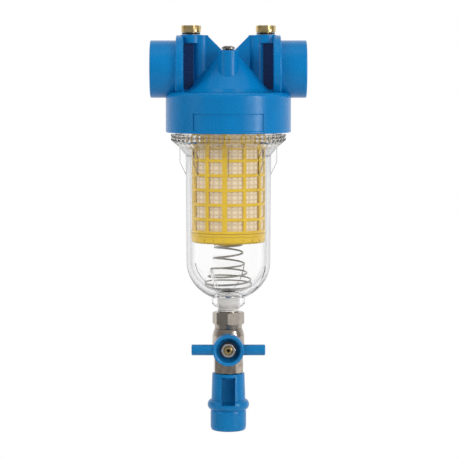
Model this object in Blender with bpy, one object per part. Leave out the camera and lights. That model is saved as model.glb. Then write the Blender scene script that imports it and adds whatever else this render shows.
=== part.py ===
"""Self cleaning water filter: blue head, clear bowl, cage cartridge on a spring, ball drain valve.

Frame: the origin is where the pipe axis crosses the upright axis, +X is the outlet side,
-Y is the front and +Z is up. Lengths are metres, written as millimetres times MM.
"""
from math import asin, cos, pi, radians, sin, sqrt

import bmesh
import bpy
from mathutils import Matrix, Vector

for old in list(bpy.data.objects):
    bpy.data.objects.remove(old, do_unlink=True)

MM = 0.001

# Clearances between separate pieces
GAP = 0.3 * MM
SINK = 1.0 * MM

# Head: pipe sockets on the X axis
PORT_R = 27.0 * MM
PORT_END = 73.6 * MM
PORT_EDGE = 1.2 * MM
SOCKET_R = 21.2 * MM
SOCKET_DEPTH = 24.0 * MM
THROAT_R = 15.5 * MM
FLANGE_R = 31.8 * MM
FLANGE_INNER = 42.1 * MM
FLANGE_THICK = 7.1 * MM

# Head: cone, columns, webs and bosses on top of the collar
CONE_FOOT_R = 38.5 * MM
CONE_FOOT_Z = -18.4 * MM
CONE_LIP = 3.4 * MM
CONE_LIP_DROP = 1.2 * MM
CONE_TIP_R = 5.0 * MM
CONE_TIP_Z = 18.4 * MM
HOLLOW_FOOT_R = 31.0 * MM
COLUMN_X = 26.3 * MM
COLUMN_R = 7.5 * MM
WEB_THICK = 9.0 * MM
WEB_FOOT_X = 6.6 * MM
WEB_ROOT_X = 4.0 * MM
WEB_TOP_X = 19.6 * MM
TOP_STEP = 0.4 * MM
PLUG_X = 35.1 * MM
PLUG_BOSS_R = 10.0 * MM
PLUG_BOSS_DEEP = 8.0 * MM
PLUG_BOSS_TOP = 32.3 * MM
VENT_Y = -18.8 * MM
VENT_BOSS_R = 9.5 * MM
VENT_BOSS_TOP = 17.5 * MM

# Head: collar and the chamber in it
COLLAR_R = 59.1 * MM
COLLAR_TOP = -21.7 * MM
COLLAR_BOTTOM = -59.4 * MM
COLLAR_ROUND = 4.5 * MM
COLLAR_WALL = 8.1 * MM
CHAMBER_ROOF = -25.0 * MM
LABEL_HALF_ANGLE = radians(33.4)
LABEL_TOP = -40.7 * MM
LABEL_DEEP = 0.5 * MM

# Head: outlet duct under the chamber roof, and the spigot for the cartridge
DUCT_HALF = 13.0 * MM
DUCT_WALL = 2.5 * MM
DUCT_HIGH = 8.0 * MM
SPIGOT_R = 13.5 * MM
SPIGOT_BORE = 10.5 * MM
SPIGOT_LONG = 10.5 * MM
PORT_SLOT = 8.5 * MM
PORT_SLOT_WALL = 2.4 * MM
DRILL_R = 1.6 * MM

# Gauge plugs and vent screw
PLUG_HEAD_R = 9.3 * MM
PLUG_HEAD_HIGH = 6.8 * MM
PLUG_EDGE = 1.0 * MM
PLUG_SHANK_R = 5.7 * MM
PLUG_SHANK_LONG = 6.5 * MM
SEAL_THICK = 1.4 * MM
PLUG_SEAL_R = 8.6 * MM
VENT_HEAD_R = 6.2 * MM
VENT_HEAD_HIGH = 2.8 * MM
VENT_SHANK_R = 2.8 * MM
VENT_SHANK_EDGE = 0.9 * MM
VENT_SHANK_LONG = 9.0 * MM
VENT_SEAL_R = 5.4 * MM
VENT_SEAL_THICK = 0.9 * MM

# Bowl
NECK_WALL = 4.4 * MM
NECK_TOP = -38.5 * MM
BOWL_FLANGE_R = 54.3 * MM
BOWL_FLANGE_GAP = 1.7 * MM
BOWL_FLANGE_HIGH = 5.7 * MM
SHOULDER_OUT = 5.9 * MM
SHOULDER_DROP = 6.7 * MM
BOWL_R = 40.4 * MM
BOWL_DRAFT = 0.5 * MM
FLARE_DROP = 7.5 * MM
BOWL_WALL = 3.6 * MM
DOME_Z = -181.8 * MM
DOME_OUTER_HIGH = 37.2 * MM
DOME_INNER_HIGH = 32.0 * MM
BOSS_R = 15.7 * MM
BOSS_CHAMFER = 4.0 * MM
BOSS_BOTTOM = -225.5 * MM
FIN_COUNT = 8
FIN_THICK = 1.6 * MM
FIN_DEEP = 5.7 * MM
FIN_LONG = 14.2 * MM
FIN_TAPER = 12.5 * MM
FIN_RUNOUT = 0.4 * MM
RIB_COUNT = 4
RIB_TURN = radians(-115)
RIB_THICK = 2.2 * MM
RIB_SEAT_OUT = 1.2 * MM
RIB_SEAT_IN = 2.6 * MM
RIB_STOP_HIGH = 5.5 * MM
RIB_TOP_DROP = 4.0 * MM
RIB_TOP_SLOPE = 1.6 * MM
RIB_FOOT_IN = 2.6 * MM
SEAL_GROOVE_TOP = 3.5 * MM
SEAL_WIRE_R = 1.45 * MM

# Cartridge
CAGE_CLEAR = 1.4 * MM
CAGE_THICK = 2.2 * MM
CAGE_BARS = 12
CAGE_TURN = radians(-94.5)
BAR_WIDE = 3.2 * MM
RING_HIGH = 2.8 * MM
RING_PITCH = 13.8 * MM
CAGE_RINGS = 8
LAST_WINDOW = 9.3 * MM
CAGE_FOOT_HIGH = 2.6 * MM
WINDOW_STEPS = 2
NET_THICK = 0.8 * MM
CAP_HIGH = 9.3 * MM
CAP_BEAD = 0.7 * MM
CAP_PLATE = 2.0 * MM
CAP_EDGE = 1.5 * MM
TOP_CAP_HIGH = 6.3 * MM
TOP_CAP_PLUG = 2.0 * MM
CARTRIDGE_SEAL_WALL = 2.6 * MM
CARTRIDGE_SEAL_HIGH = 4.0 * MM
SPRING_SEAT_DROP = 1.75 * MM
NUB_HIGH = 1.5 * MM
NUB_EDGE = 0.5 * MM

# Spring
WIRE_R = 0.85 * MM
SPRING_TOP_R = 12.9 * MM
SPRING_TO_WALL = 13.4 * MM
COIL_DROPS = (0.0, 0.19, 0.27, 0.235, 0.18, 0.125, 0.0)
COIL_SPREAD = (0.0, 0.06, 0.15, 0.23, 0.40, 0.16, 0.0)
SPRING_START = 0.5
SPRING_END = 6.47
WIRE_SIDES = 6
POINTS_PER_COIL = 14

# Ball valve
THREAD_R = 10.45 * MM
THREAD_TOP = -212.6 * MM
THREAD_LEAD = 1.0 * MM
NIPPLE_BORE = 7.5 * MM
OCT_CHAMFER = 1.0 * MM
UPPER_OCT_R = 15.1 * MM
UPPER_OCT_TURN = radians(-92.6)
UPPER_OCT_TOP = -229.8 * MM
UPPER_OCT_BOTTOM = -241.6 * MM
BODY_TOP = -245.5 * MM
BODY_TOP_R = 13.2 * MM
VALVE_Z = -262.6 * MM
BODY_R = 15.2 * MM
BODY_LOW_TAPER = 4.0 * MM
BODY_HIGH_TAPER = 6.5 * MM
BODY_LIP = 1.5 * MM
CAVITY_R = 11.5 * MM
LOWER_OCT_R = 14.5 * MM
LOWER_OCT_TURN = radians(-61.0)
LOWER_OCT_TOP = -270.5 * MM
BODY_BOTTOM = -288.2 * MM
OUTLET_THREAD_R = 10.8 * MM
OUTLET_THREAD_DEEP = 12.0 * MM
BALL_R = 9.3 * MM
BALL_BORE = 6.0 * MM
SEAT_BORE = 6.4 * MM
SEAT_NEAR = 6.2 * MM
SEAT_CONE = 1.0 * MM
SEAT_FAR = 8.3 * MM
STEM_R = 4.7 * MM
STEM_FLANGE_R = 5.6 * MM
STEM_FLANGE_THICK = 1.8 * MM
STEM_THREAD_R = 3.9 * MM
STEM_CENTRE_R = 1.2 * MM
STEM_CENTRE_DEEP = 1.6 * MM
STEM_CHAMFER = 0.6 * MM
TANG_WIDE = 2.6 * MM
TANG_LONG = 7.0 * MM
TANG_DEEP = 1.9 * MM
STEM_BOSS_R = 9.8 * MM
STEM_BOSS_END = -19.0 * MM
PACKING_WALL = 2.2 * MM
PACKING_LONG = 2.6 * MM
GLAND_HEAD = 1.9 * MM
GLAND_SHANK = 3.0 * MM
GLAND_HEX_R = 8.6 * MM

# Handle
HANDLE_BACK = -21.6 * MM
HUB_R = 14.6 * MM
HUB_LONG = 14.5 * MM
HUB_EDGE = 1.0 * MM
CUP_R = 11.9 * MM
CUP_FLOOR_R = 8.7 * MM
CUP_DEEP = 8.0 * MM
WING_HALF = 34.6 * MM
WING_R = 5.1 * MM
WING_EDGE = 1.2 * MM
WASHER_R = 8.0 * MM
WASHER_THICK = 1.0 * MM
NUT_R = 7.2 * MM
NUT_THICK = 4.6 * MM
NUT_CHAMFER = 1.0 * MM
STEM_PROUD = 1.2 * MM

# Drain funnel
FUNNEL_TOP_R = 15.4 * MM
FUNNEL_LOW_R = 16.2 * MM
FUNNEL_WALL = 2.4 * MM
FUNNEL_PLATE = 3.0 * MM
FUNNEL_RIM = 2.8 * MM
FUNNEL_THREAD_R = 10.4 * MM
FUNNEL_THREAD_LONG = 9.6 * MM
FUNNEL_BORE = 7.0 * MM
NOZZLE_R = 9.0 * MM
NOZZLE_LONG = 2.0 * MM
BEAD_R = 19.8 * MM
BEAD_Z = -318.6 * MM
BEAD_HIGH = 9.4 * MM
WINDOW_WIDE = 12.8 * MM
WINDOW_LOW = -317.7 * MM
HOSE_R = 17.0 * MM
HOSE_WALL = 3.0 * MM
HOSE_ROUND = 4.5 * MM
HOSE_LIP = 1.2 * MM
HOSE_STEP = 2.0 * MM
FUNNEL_EDGE = 0.5 * MM
FUNNEL_BOTTOM = -343.0 * MM
GASKET_THICK = 1.5 * MM

# Facets round a full turn
FINE = 32
MEDIUM = 24
SMALL = 14
BALL_STEPS = 10
DOME_STEPS = 6

COLUMN_TOP = PLUG_BOSS_TOP - TOP_STEP
WEB_TOP = COLUMN_TOP - TOP_STEP
DUCT_LOW = CHAMBER_ROOF - DUCT_HIGH - DUCT_WALL
SPIGOT_END = DUCT_LOW - SPIGOT_LONG
COLLAR_IN = COLLAR_R - COLLAR_WALL
NECK_R = COLLAR_IN - 2 * GAP
NECK_IN = NECK_R - NECK_WALL
BOWL_FLANGE_TOP = COLLAR_BOTTOM - BOWL_FLANGE_GAP
BOWL_FLANGE_LOW = BOWL_FLANGE_TOP - BOWL_FLANGE_HIGH
SHOULDER_Z = BOWL_FLANGE_LOW - SHOULDER_DROP
WALL_TOP = SHOULDER_Z - FLARE_DROP
SHOULDER_R = BOWL_R + SHOULDER_OUT
BOWL_IN = BOWL_R - BOWL_DRAFT - BOWL_WALL
BOSS_BORE = THREAD_R + GAP
CAGE_R = BOWL_IN - CAGE_CLEAR
SPRING_BOTTOM_R = BOWL_IN - SPRING_TO_WALL
SPRING_SEAT_SHARE = (SPRING_BOTTOM_R + WIRE_R) / BOWL_IN
SPRING_SEAT_Z = DOME_Z - DOME_INNER_HIGH * sqrt(1 - SPRING_SEAT_SHARE ** 2) - GAP
CARTRIDGE_TOP = DUCT_LOW - GAP
CAGE_TOP = CARTRIDGE_TOP - TOP_CAP_HIGH
CAGE_FOOT_TOP = CAGE_TOP - (CAGE_RINGS - 1) * RING_PITCH - RING_HIGH - LAST_WINDOW
CAGE_BOTTOM = CAGE_FOOT_TOP - CAGE_FOOT_HIGH
NET_IN = CAGE_R - CAGE_THICK - GAP - NET_THICK
CAP_BOTTOM = CAGE_BOTTOM - GAP - CAP_HIGH
SPRING_TOP_Z = CAP_BOTTOM - SPRING_SEAT_DROP - GAP - WIRE_R
SPRING_LOW_Z = SPRING_SEAT_Z + GAP + WIRE_R
CUP_FLOOR = HANDLE_BACK - HUB_LONG + CUP_DEEP


def material(name, colour, roughness, metallic=0.0, clear=0.0):
    """One Principled material for a piece."""
    made = bpy.data.materials.get(name) or bpy.data.materials.new(name)
    made.use_nodes = True
    shader = made.node_tree.nodes["Principled BSDF"]
    shader.inputs["Base Color"].default_value = (*colour, 1.0)
    shader.inputs["Roughness"].default_value = roughness
    shader.inputs["Metallic"].default_value = metallic
    shader.inputs["Transmission Weight"].default_value = clear
    made.diffuse_color = (*colour, 1.0)
    return made


BLUE = material("blue_polypropylene", (0.0, 0.19, 0.50), 0.35)
CLEAR = material("clear_bowl_plastic", (0.93, 0.94, 0.95), 0.05, 0.0, 1.0)
YELLOW = material("yellow_plastic", (0.85, 0.55, 0.01), 0.4)
NET_CLOTH = material("net_cloth", (0.75, 0.62, 0.42), 0.8)
RUBBER = material("black_rubber", (0.01, 0.01, 0.01), 0.6)
BRASS = material("brass", (0.80, 0.60, 0.28), 0.3, 1.0)
NICKEL = material("nickel_plate", (0.55, 0.52, 0.49), 0.3, 1.0)
STEEL = material("spring_steel", (0.35, 0.34, 0.33), 0.3, 1.0)
SEAT_WHITE = material("white_seat_plastic", (0.85, 0.85, 0.83), 0.5)


def finish(name, shape, surface):
    """Turn a bmesh into a named object with a material and smooth round faces."""
    bmesh.ops.recalc_face_normals(shape, faces=shape.faces)
    mesh = bpy.data.meshes.new(name)
    shape.to_mesh(mesh)
    shape.free()
    mesh.materials.append(surface)
    mesh.shade_smooth()
    mesh.set_sharp_from_angle(angle=radians(35))
    piece = bpy.data.objects.new(name, mesh)
    bpy.context.scene.collection.objects.link(piece)
    return piece


def turned(points, sides, turn=0.0):
    """Revolve an outline of (radius, height) points about Z; the outline may end on the axis."""
    shape = bmesh.new()
    on_axis = 1e-7
    rings = []
    for radius, height in points:
        if radius < on_axis:
            rings.append([shape.verts.new((0.0, 0.0, height))])
            continue
        ring = []
        for step in range(sides):
            angle = turn + 2 * pi * step / sides
            ring.append(shape.verts.new((radius * cos(angle), radius * sin(angle), height)))
        rings.append(ring)
    closed = len(rings[0]) > 1 and len(rings[-1]) > 1
    pairs = list(zip(rings, rings[1:]))
    if closed:
        pairs.append((rings[-1], rings[0]))
    for lower, upper in pairs:
        for step in range(sides):
            after = (step + 1) % sides
            if len(lower) == 1 and len(upper) == 1:
                continue
            if len(lower) == 1:
                shape.faces.new((lower[0], upper[after], upper[step]))
            elif len(upper) == 1:
                shape.faces.new((lower[step], lower[after], upper[0]))
            else:
                shape.faces.new((lower[step], lower[after], upper[after], upper[step]))
    return shape


def moved(shape, *steps):
    """Apply matrices to a bmesh, the first one first."""
    for step in steps:
        bmesh.ops.transform(shape, matrix=step, verts=shape.verts)
    return shape


def placed(x, y, z):
    return Matrix.Translation((x, y, z))


def along_x(sign):
    """Turn the Z axis of a shape to +X or -X."""
    return Matrix.Rotation(sign * pi / 2, 4, "Y")


ALONG_FRONT = Matrix.Rotation(pi / 2, 4, "X")


def block(low, high):
    """A box between two corners."""
    shape = bmesh.new()
    bmesh.ops.create_cube(shape, size=1.0)
    size = Vector(high) - Vector(low)
    middle = (Vector(high) + Vector(low)) / 2
    return moved(shape, Matrix.Diagonal((*size, 1.0)), Matrix.Translation(middle))


def plate(outline, thick):
    """A flat plate: an outline of (x, z) points, centred on the XZ plane."""
    shape = bmesh.new()
    front = [shape.verts.new((x, -thick / 2, z)) for x, z in outline]
    face = shape.faces.new(front)
    pushed = bmesh.ops.extrude_face_region(shape, geom=[face])
    back = [part for part in pushed["geom"] if isinstance(part, bmesh.types.BMVert)]
    bmesh.ops.translate(shape, vec=(0.0, thick, 0.0), verts=back)
    return shape


def rod(radius, low, high, sides):
    """A plain cylinder on the Z axis."""
    return turned([(0.0, low), (radius, low), (radius, high), (0.0, high)], sides)


def arc(centre, radius, start, end, steps):
    """Points of an arc in the (radius, height) plane, both ends included; angles in degrees."""
    points = []
    for step in range(steps + 1):
        angle = radians(start + (end - start) * step / steps)
        points.append((centre[0] + radius * cos(angle), centre[1] + radius * sin(angle)))
    return points


def ellipse_height(radius, reach, high):
    """Depth below the dome's centre line at a radius, on an ellipse of the given half axes."""
    return high * sqrt(max(0.0, 1.0 - (radius / reach) ** 2))


def ellipse(reach, high, inner_radius, steps):
    """Dome outline from its rim down to inner_radius."""
    end = asin(sqrt(1.0 - (inner_radius / reach) ** 2))
    points = []
    for step in range(steps + 1):
        angle = end * step / steps
        points.append((reach * cos(angle), DOME_Z - high * sin(angle)))
    return points


def combine(target, shape, operation):
    """Join a shape to an object, or cut it out, with an exact Boolean that stays as a modifier."""
    cutter = finish(f"{target.name}_tool_{len(target.modifiers)}", shape, target.data.materials[0])
    cutter.hide_render = True
    cutter.display_type = "WIRE"
    step = target.modifiers.new(cutter.name, "BOOLEAN")
    step.operation = operation
    step.solver = "EXACT"
    step.object = cutter


def join(target, shape):
    combine(target, shape, "UNION")


def cut(target, shape):
    combine(target, shape, "DIFFERENCE")


def web_outline(side):
    """Outline of one web in the XZ plane: flange, top, slope to the middle, and down into the cone."""
    outer = FLANGE_INNER + FLANGE_THICK / 2
    foot = COLLAR_TOP - SINK
    points = [
        (outer, foot),
        (outer, WEB_TOP),
        (WEB_TOP_X, WEB_TOP),
        (WEB_FOOT_X, WEB_TOP - (WEB_TOP_X - WEB_FOOT_X)),
        (WEB_ROOT_X, CONE_TIP_Z - SINK),
        (WEB_ROOT_X, foot),
    ]
    return [(side * x, z) for x, z in points]


def filter_head():
    """The blue moulding: collar and cone as one turned shell, with sockets, webs and bosses joined."""
    top_edge = (COLLAR_R - COLLAR_ROUND, COLLAR_TOP - COLLAR_ROUND)
    outline = [(0.0, COLLAR_BOTTOM), (COLLAR_R - SINK, COLLAR_BOTTOM)]
    outline += [(COLLAR_R, COLLAR_BOTTOM + SINK)]
    outline += arc(top_edge, COLLAR_ROUND, 0, 90, 4)
    outline += [(CONE_FOOT_R + CONE_LIP, CONE_FOOT_Z - CONE_LIP_DROP), (CONE_FOOT_R, CONE_FOOT_Z)]
    outline += [(CONE_TIP_R, CONE_TIP_Z), (0.0, CONE_TIP_Z)]
    rise = (CONE_TIP_Z - CONE_FOOT_Z) / (CONE_FOOT_R - CONE_TIP_R)
    hollow_tip = CHAMBER_ROOF + (HOLLOW_FOOT_R - CONE_TIP_R) * rise
    shell = [(0.0, hollow_tip), (CONE_TIP_R, hollow_tip), (HOLLOW_FOOT_R, CHAMBER_ROOF)]
    shell += [(COLLAR_IN, CHAMBER_ROOF), (COLLAR_IN, COLLAR_BOTTOM - SINK)]
    shell += [(0.0, COLLAR_BOTTOM - SINK)]
    head = finish("filter_head", turned(outline, FINE), BLUE)
    label = [(COLLAR_R - LABEL_DEEP, COLLAR_BOTTOM - SINK), (COLLAR_R + SINK, COLLAR_BOTTOM - SINK)]
    label += [(COLLAR_R + SINK, LABEL_TOP), (COLLAR_R - LABEL_DEEP, LABEL_TOP)]
    cut(head, sector(label, -pi / 2 - LABEL_HALF_ANGLE, -pi / 2 + LABEL_HALF_ANGLE, 8))
    for side in (-1, 1):
        port = [(0.0, FLANGE_INNER), (FLANGE_R, FLANGE_INNER)]
        port += [(FLANGE_R, FLANGE_INNER + FLANGE_THICK), (PORT_R, FLANGE_INNER + FLANGE_THICK)]
        port += [(PORT_R, PORT_END - PORT_EDGE), (PORT_R - PORT_EDGE, PORT_END), (0.0, PORT_END)]
        join(head, moved(turned(port, FINE), along_x(side)))
        join(head, plate(web_outline(side), WEB_THICK))
        column = rod(COLUMN_R, COLLAR_TOP - SINK / 2, COLUMN_TOP, SMALL + 2)
        join(head, moved(column, placed(side * COLUMN_X, 0, 0)))
        boss = rod(PLUG_BOSS_R, PLUG_BOSS_TOP - PLUG_BOSS_DEEP, PLUG_BOSS_TOP, SMALL + 6)
        join(head, moved(boss, placed(side * PLUG_X, 0, 0)))
    vent_boss = rod(VENT_BOSS_R, COLLAR_TOP, VENT_BOSS_TOP, SMALL + 6)
    join(head, moved(vent_boss, placed(0, VENT_Y, 0)))
    cut(head, turned(shell, FINE, pi / FINE))
    add_outlet_duct(head)
    add_passages(head)
    return head


def sector(points, start, end, steps):
    """Revolve a closed outline through part of a turn, with flat ends."""
    shape = bmesh.new()
    rings = []
    for step in range(steps + 1):
        angle = start + (end - start) * step / steps
        rings.append([shape.verts.new((r * cos(angle), r * sin(angle), z)) for r, z in points])
    count = len(points)
    for first, second in zip(rings, rings[1:]):
        for index in range(count):
            after = (index + 1) % count
            shape.faces.new((first[index], first[after], second[after], second[index]))
    shape.faces.new(rings[0])
    shape.faces.new(rings[-1])
    return shape


def add_outlet_duct(head):
    """The duct that hangs under the chamber roof, from the middle to the outlet, and its spigot."""
    reach = COLLAR_IN + SINK / 2
    wall = DUCT_HALF + DUCT_WALL
    join(head, block((-wall, -wall, DUCT_LOW), (reach + SINK, wall, CHAMBER_ROOF + DUCT_WALL)))
    join(head, rod(SPIGOT_R, SPIGOT_END, DUCT_LOW + SINK, MEDIUM))
    duct_low = (-DUCT_HALF, -DUCT_HALF, CHAMBER_ROOF - DUCT_HIGH)
    cut(head, block(duct_low, (reach, DUCT_HALF, CHAMBER_ROOF)))
    cut(head, rod(SPIGOT_BORE, SPIGOT_END - SINK, CHAMBER_ROOF - SINK, MEDIUM))


def add_passages(head):
    """Pipe sockets, the slots from them to the chamber and the duct, and the small drilled holes."""
    bore_end = PORT_END - SOCKET_DEPTH
    slot_in = FLANGE_INNER + PORT_SLOT_WALL
    slot_out = slot_in + PORT_SLOT
    for side in (-1, 1):
        bore = [(0.0, slot_in), (THROAT_R, slot_in), (THROAT_R, bore_end)]
        bore += [(SOCKET_R, bore_end), (SOCKET_R, PORT_END + SINK), (0.0, PORT_END + SINK)]
        cut(head, moved(turned(bore, MEDIUM, pi / MEDIUM), along_x(side)))
        slot_x = sorted((side * slot_in, side * min(slot_out, COLLAR_IN + SINK)))
        half = DUCT_HALF - DUCT_WALL
        cut(head, block((slot_x[0], -half, CHAMBER_ROOF - SINK), (slot_x[1], half, -THROAT_R / 2)))
        gauge = [(0.0, CHAMBER_ROOF - SINK), (DRILL_R, CHAMBER_ROOF - SINK)]
        plug_floor = PLUG_BOSS_TOP - PLUG_SHANK_LONG - GAP
        gauge += [(DRILL_R, plug_floor), (PLUG_SHANK_R + GAP, plug_floor)]
        gauge += [(PLUG_SHANK_R + GAP, PLUG_BOSS_TOP + SINK), (0.0, PLUG_BOSS_TOP + SINK)]
        cut(head, moved(turned(gauge, SMALL, pi / SMALL), placed(side * PLUG_X, 0, 0)))
    vent_floor = VENT_BOSS_TOP - VENT_SHANK_LONG - 4 * GAP
    vent = [(0.0, CONE_FOOT_Z), (DRILL_R, CONE_FOOT_Z), (DRILL_R, vent_floor)]
    vent += [(VENT_SHANK_R + GAP, vent_floor), (VENT_SHANK_R + GAP, VENT_BOSS_TOP + SINK)]
    vent += [(0.0, VENT_BOSS_TOP + SINK)]
    cut(head, moved(turned(vent, SMALL, pi / SMALL), placed(0, VENT_Y, 0)))


def ring_seal(name, inner, outer, low, high, surface, sides):
    """A flat ring with a rectangular section."""
    return finish(name, turned([(inner, low), (outer, low), (outer, high), (inner, high)], sides), surface)


def gauge_plugs():
    """Two brass plugs with round heads, each on a black flat seal."""
    seal_low = PLUG_BOSS_TOP + GAP
    seal_top = seal_low + SEAL_THICK
    head_low = seal_top + GAP
    head_top = head_low + PLUG_HEAD_HIGH
    edge = PLUG_EDGE
    shank_low = PLUG_BOSS_TOP - PLUG_SHANK_LONG
    outline = [(0.0, shank_low), (PLUG_SHANK_R - edge, shank_low), (PLUG_SHANK_R, shank_low + edge)]
    outline += [(PLUG_SHANK_R, head_low), (PLUG_HEAD_R - edge / 2, head_low)]
    outline += [(PLUG_HEAD_R, head_low + edge / 2), (PLUG_HEAD_R, head_top - edge)]
    outline += [(PLUG_HEAD_R - edge, head_top), (0.0, head_top)]
    for side, word in ((-1, "left"), (1, "right")):
        plug = finish(f"{word}_gauge_plug", turned(outline, SMALL + 8), BRASS)
        plug.location = (side * PLUG_X, 0, 0)
        seal = ring_seal(f"{word}_plug_seal", PLUG_SHANK_R + GAP, PLUG_SEAL_R, seal_low, seal_top,
                         RUBBER, SMALL + 8)
        seal.location = (side * PLUG_X, 0, 0)


def vent_screw():
    """Pan head screw on the front boss, over its small seal."""
    low = VENT_BOSS_TOP + GAP
    seat = low + VENT_SEAL_THICK + GAP
    top = seat + VENT_HEAD_HIGH
    edge = VENT_SHANK_EDGE
    shank = VENT_BOSS_TOP - VENT_SHANK_LONG
    outline = [(0.0, shank), (VENT_SHANK_R - edge, shank), (VENT_SHANK_R, shank + edge)]
    outline += [(VENT_SHANK_R, seat), (VENT_HEAD_R, seat), (VENT_HEAD_R, seat + 0.35 * VENT_HEAD_HIGH)]
    outline += [(0.86 * VENT_HEAD_R, seat + 0.75 * VENT_HEAD_HIGH), (0.5 * VENT_HEAD_R, top), (0.0, top)]
    screw = finish("vent_screw", turned(outline, SMALL), NICKEL)
    screw.location = (0, VENT_Y, 0)
    seal = ring_seal("vent_seal", VENT_SHANK_R + GAP, VENT_SEAL_R, low, low + VENT_SEAL_THICK,
                     RUBBER, SMALL)
    seal.location = (0, VENT_Y, 0)


def bowl():
    """The clear bowl: one turned wall, with wrench fins outside and spring ribs inside."""
    groove_high = 2 * (SEAL_WIRE_R + GAP)
    groove_top = NECK_TOP - SEAL_GROOVE_TOP
    groove_r = COLLAR_IN - GAP - 2 * SEAL_WIRE_R - GAP
    wall_low_r = BOWL_R - BOWL_DRAFT
    outline = [(BOSS_BORE, BOSS_BOTTOM), (BOSS_R - BOSS_CHAMFER, BOSS_BOTTOM)]
    outline += [(BOSS_R, BOSS_BOTTOM + 0.6 * BOSS_CHAMFER)]
    outline += reversed(ellipse(wall_low_r, DOME_OUTER_HIGH, BOSS_R, DOME_STEPS))
    outline += [(BOWL_R, WALL_TOP), (SHOULDER_R, SHOULDER_Z), (BOWL_FLANGE_R, BOWL_FLANGE_LOW)]
    outline += [(BOWL_FLANGE_R, BOWL_FLANGE_TOP), (NECK_R, BOWL_FLANGE_TOP)]
    outline += [(NECK_R, groove_top - groove_high), (groove_r, groove_top - groove_high)]
    outline += [(groove_r, groove_top), (NECK_R, groove_top), (NECK_R, NECK_TOP)]
    outline += [(NECK_IN, NECK_TOP), (NECK_IN, BOWL_FLANGE_LOW)]
    outline += [(SHOULDER_R - BOWL_WALL, SHOULDER_Z + BOWL_WALL)]
    outline += [(BOWL_R - BOWL_WALL, WALL_TOP + 0.4 * BOWL_WALL)]
    outline += ellipse(BOWL_IN, DOME_INNER_HIGH, BOSS_BORE, DOME_STEPS)
    piece = finish("bowl", turned(outline, FINE), CLEAR)
    for number in range(FIN_COUNT):
        fin = plate(fin_outline(), FIN_THICK)
        join(piece, moved(fin, Matrix.Rotation(2 * pi * number / FIN_COUNT, 4, "Z")))
    for number in range(RIB_COUNT):
        rib = plate(rib_outline(), RIB_THICK)
        join(piece, moved(rib, Matrix.Rotation(RIB_TURN + 2 * pi * number / RIB_COUNT, 4, "Z")))
    return piece


def fin_outline():
    """One wrench fin in the XZ plane: its root lies inside the bowl wall."""
    edge = BOWL_R + FIN_DEEP
    root = BOWL_R - 0.55 * BOWL_WALL
    tip = SHOULDER_Z - FIN_LONG
    return [
        (root, tip - FIN_TAPER),
        (BOWL_R - FIN_RUNOUT, tip - FIN_TAPER),
        (edge, tip),
        (edge, SHOULDER_Z + 0.4 * BOWL_WALL),
        (SHOULDER_R - 0.5 * BOWL_WALL, SHOULDER_Z + 0.8 * BOWL_WALL),
        (root, WALL_TOP + FIN_RUNOUT),
    ]


def rib_outline():
    """One inner rib in the XZ plane: a slope down the dome, the spring's seat, and a foot."""
    seat_out = SPRING_BOTTOM_R + WIRE_R + RIB_SEAT_OUT
    seat_in = SPRING_BOTTOM_R - RIB_SEAT_IN
    reach = BOWL_IN
    middle = (DOME_INNER_HIGH + DOME_OUTER_HIGH) / 2

    def in_wall(radius):
        return DOME_Z - ellipse_height(radius, reach + BOWL_WALL / 2, middle)

    foot_r = BOSS_BORE + RIB_FOOT_IN
    rib_top = DOME_Z - RIB_TOP_DROP
    return [
        (reach + RIB_SEAT_OUT, rib_top + RIB_TOP_SLOPE),
        (reach - RIB_SEAT_OUT, rib_top),
        (seat_out, SPRING_SEAT_Z + RIB_STOP_HIGH),
        (seat_out, SPRING_SEAT_Z),
        (seat_in, SPRING_SEAT_Z),
        (foot_r, DOME_Z - ellipse_height(foot_r, reach, DOME_INNER_HIGH) + 2 * GAP),
        (foot_r, in_wall(foot_r)),
        (0.72 * reach, in_wall(0.72 * reach)),
        (0.90 * reach, in_wall(0.90 * reach)),
    ]


def bowl_seal():
    """The round seal in the groove of the bowl neck."""
    height = NECK_TOP - SEAL_GROOVE_TOP - SEAL_WIRE_R - GAP
    centre = (COLLAR_IN - GAP - SEAL_WIRE_R, height)
    section = arc(centre, SEAL_WIRE_R, 0, 300, 5)
    return finish("bowl_seal", turned(section, FINE), RUBBER)


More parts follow.
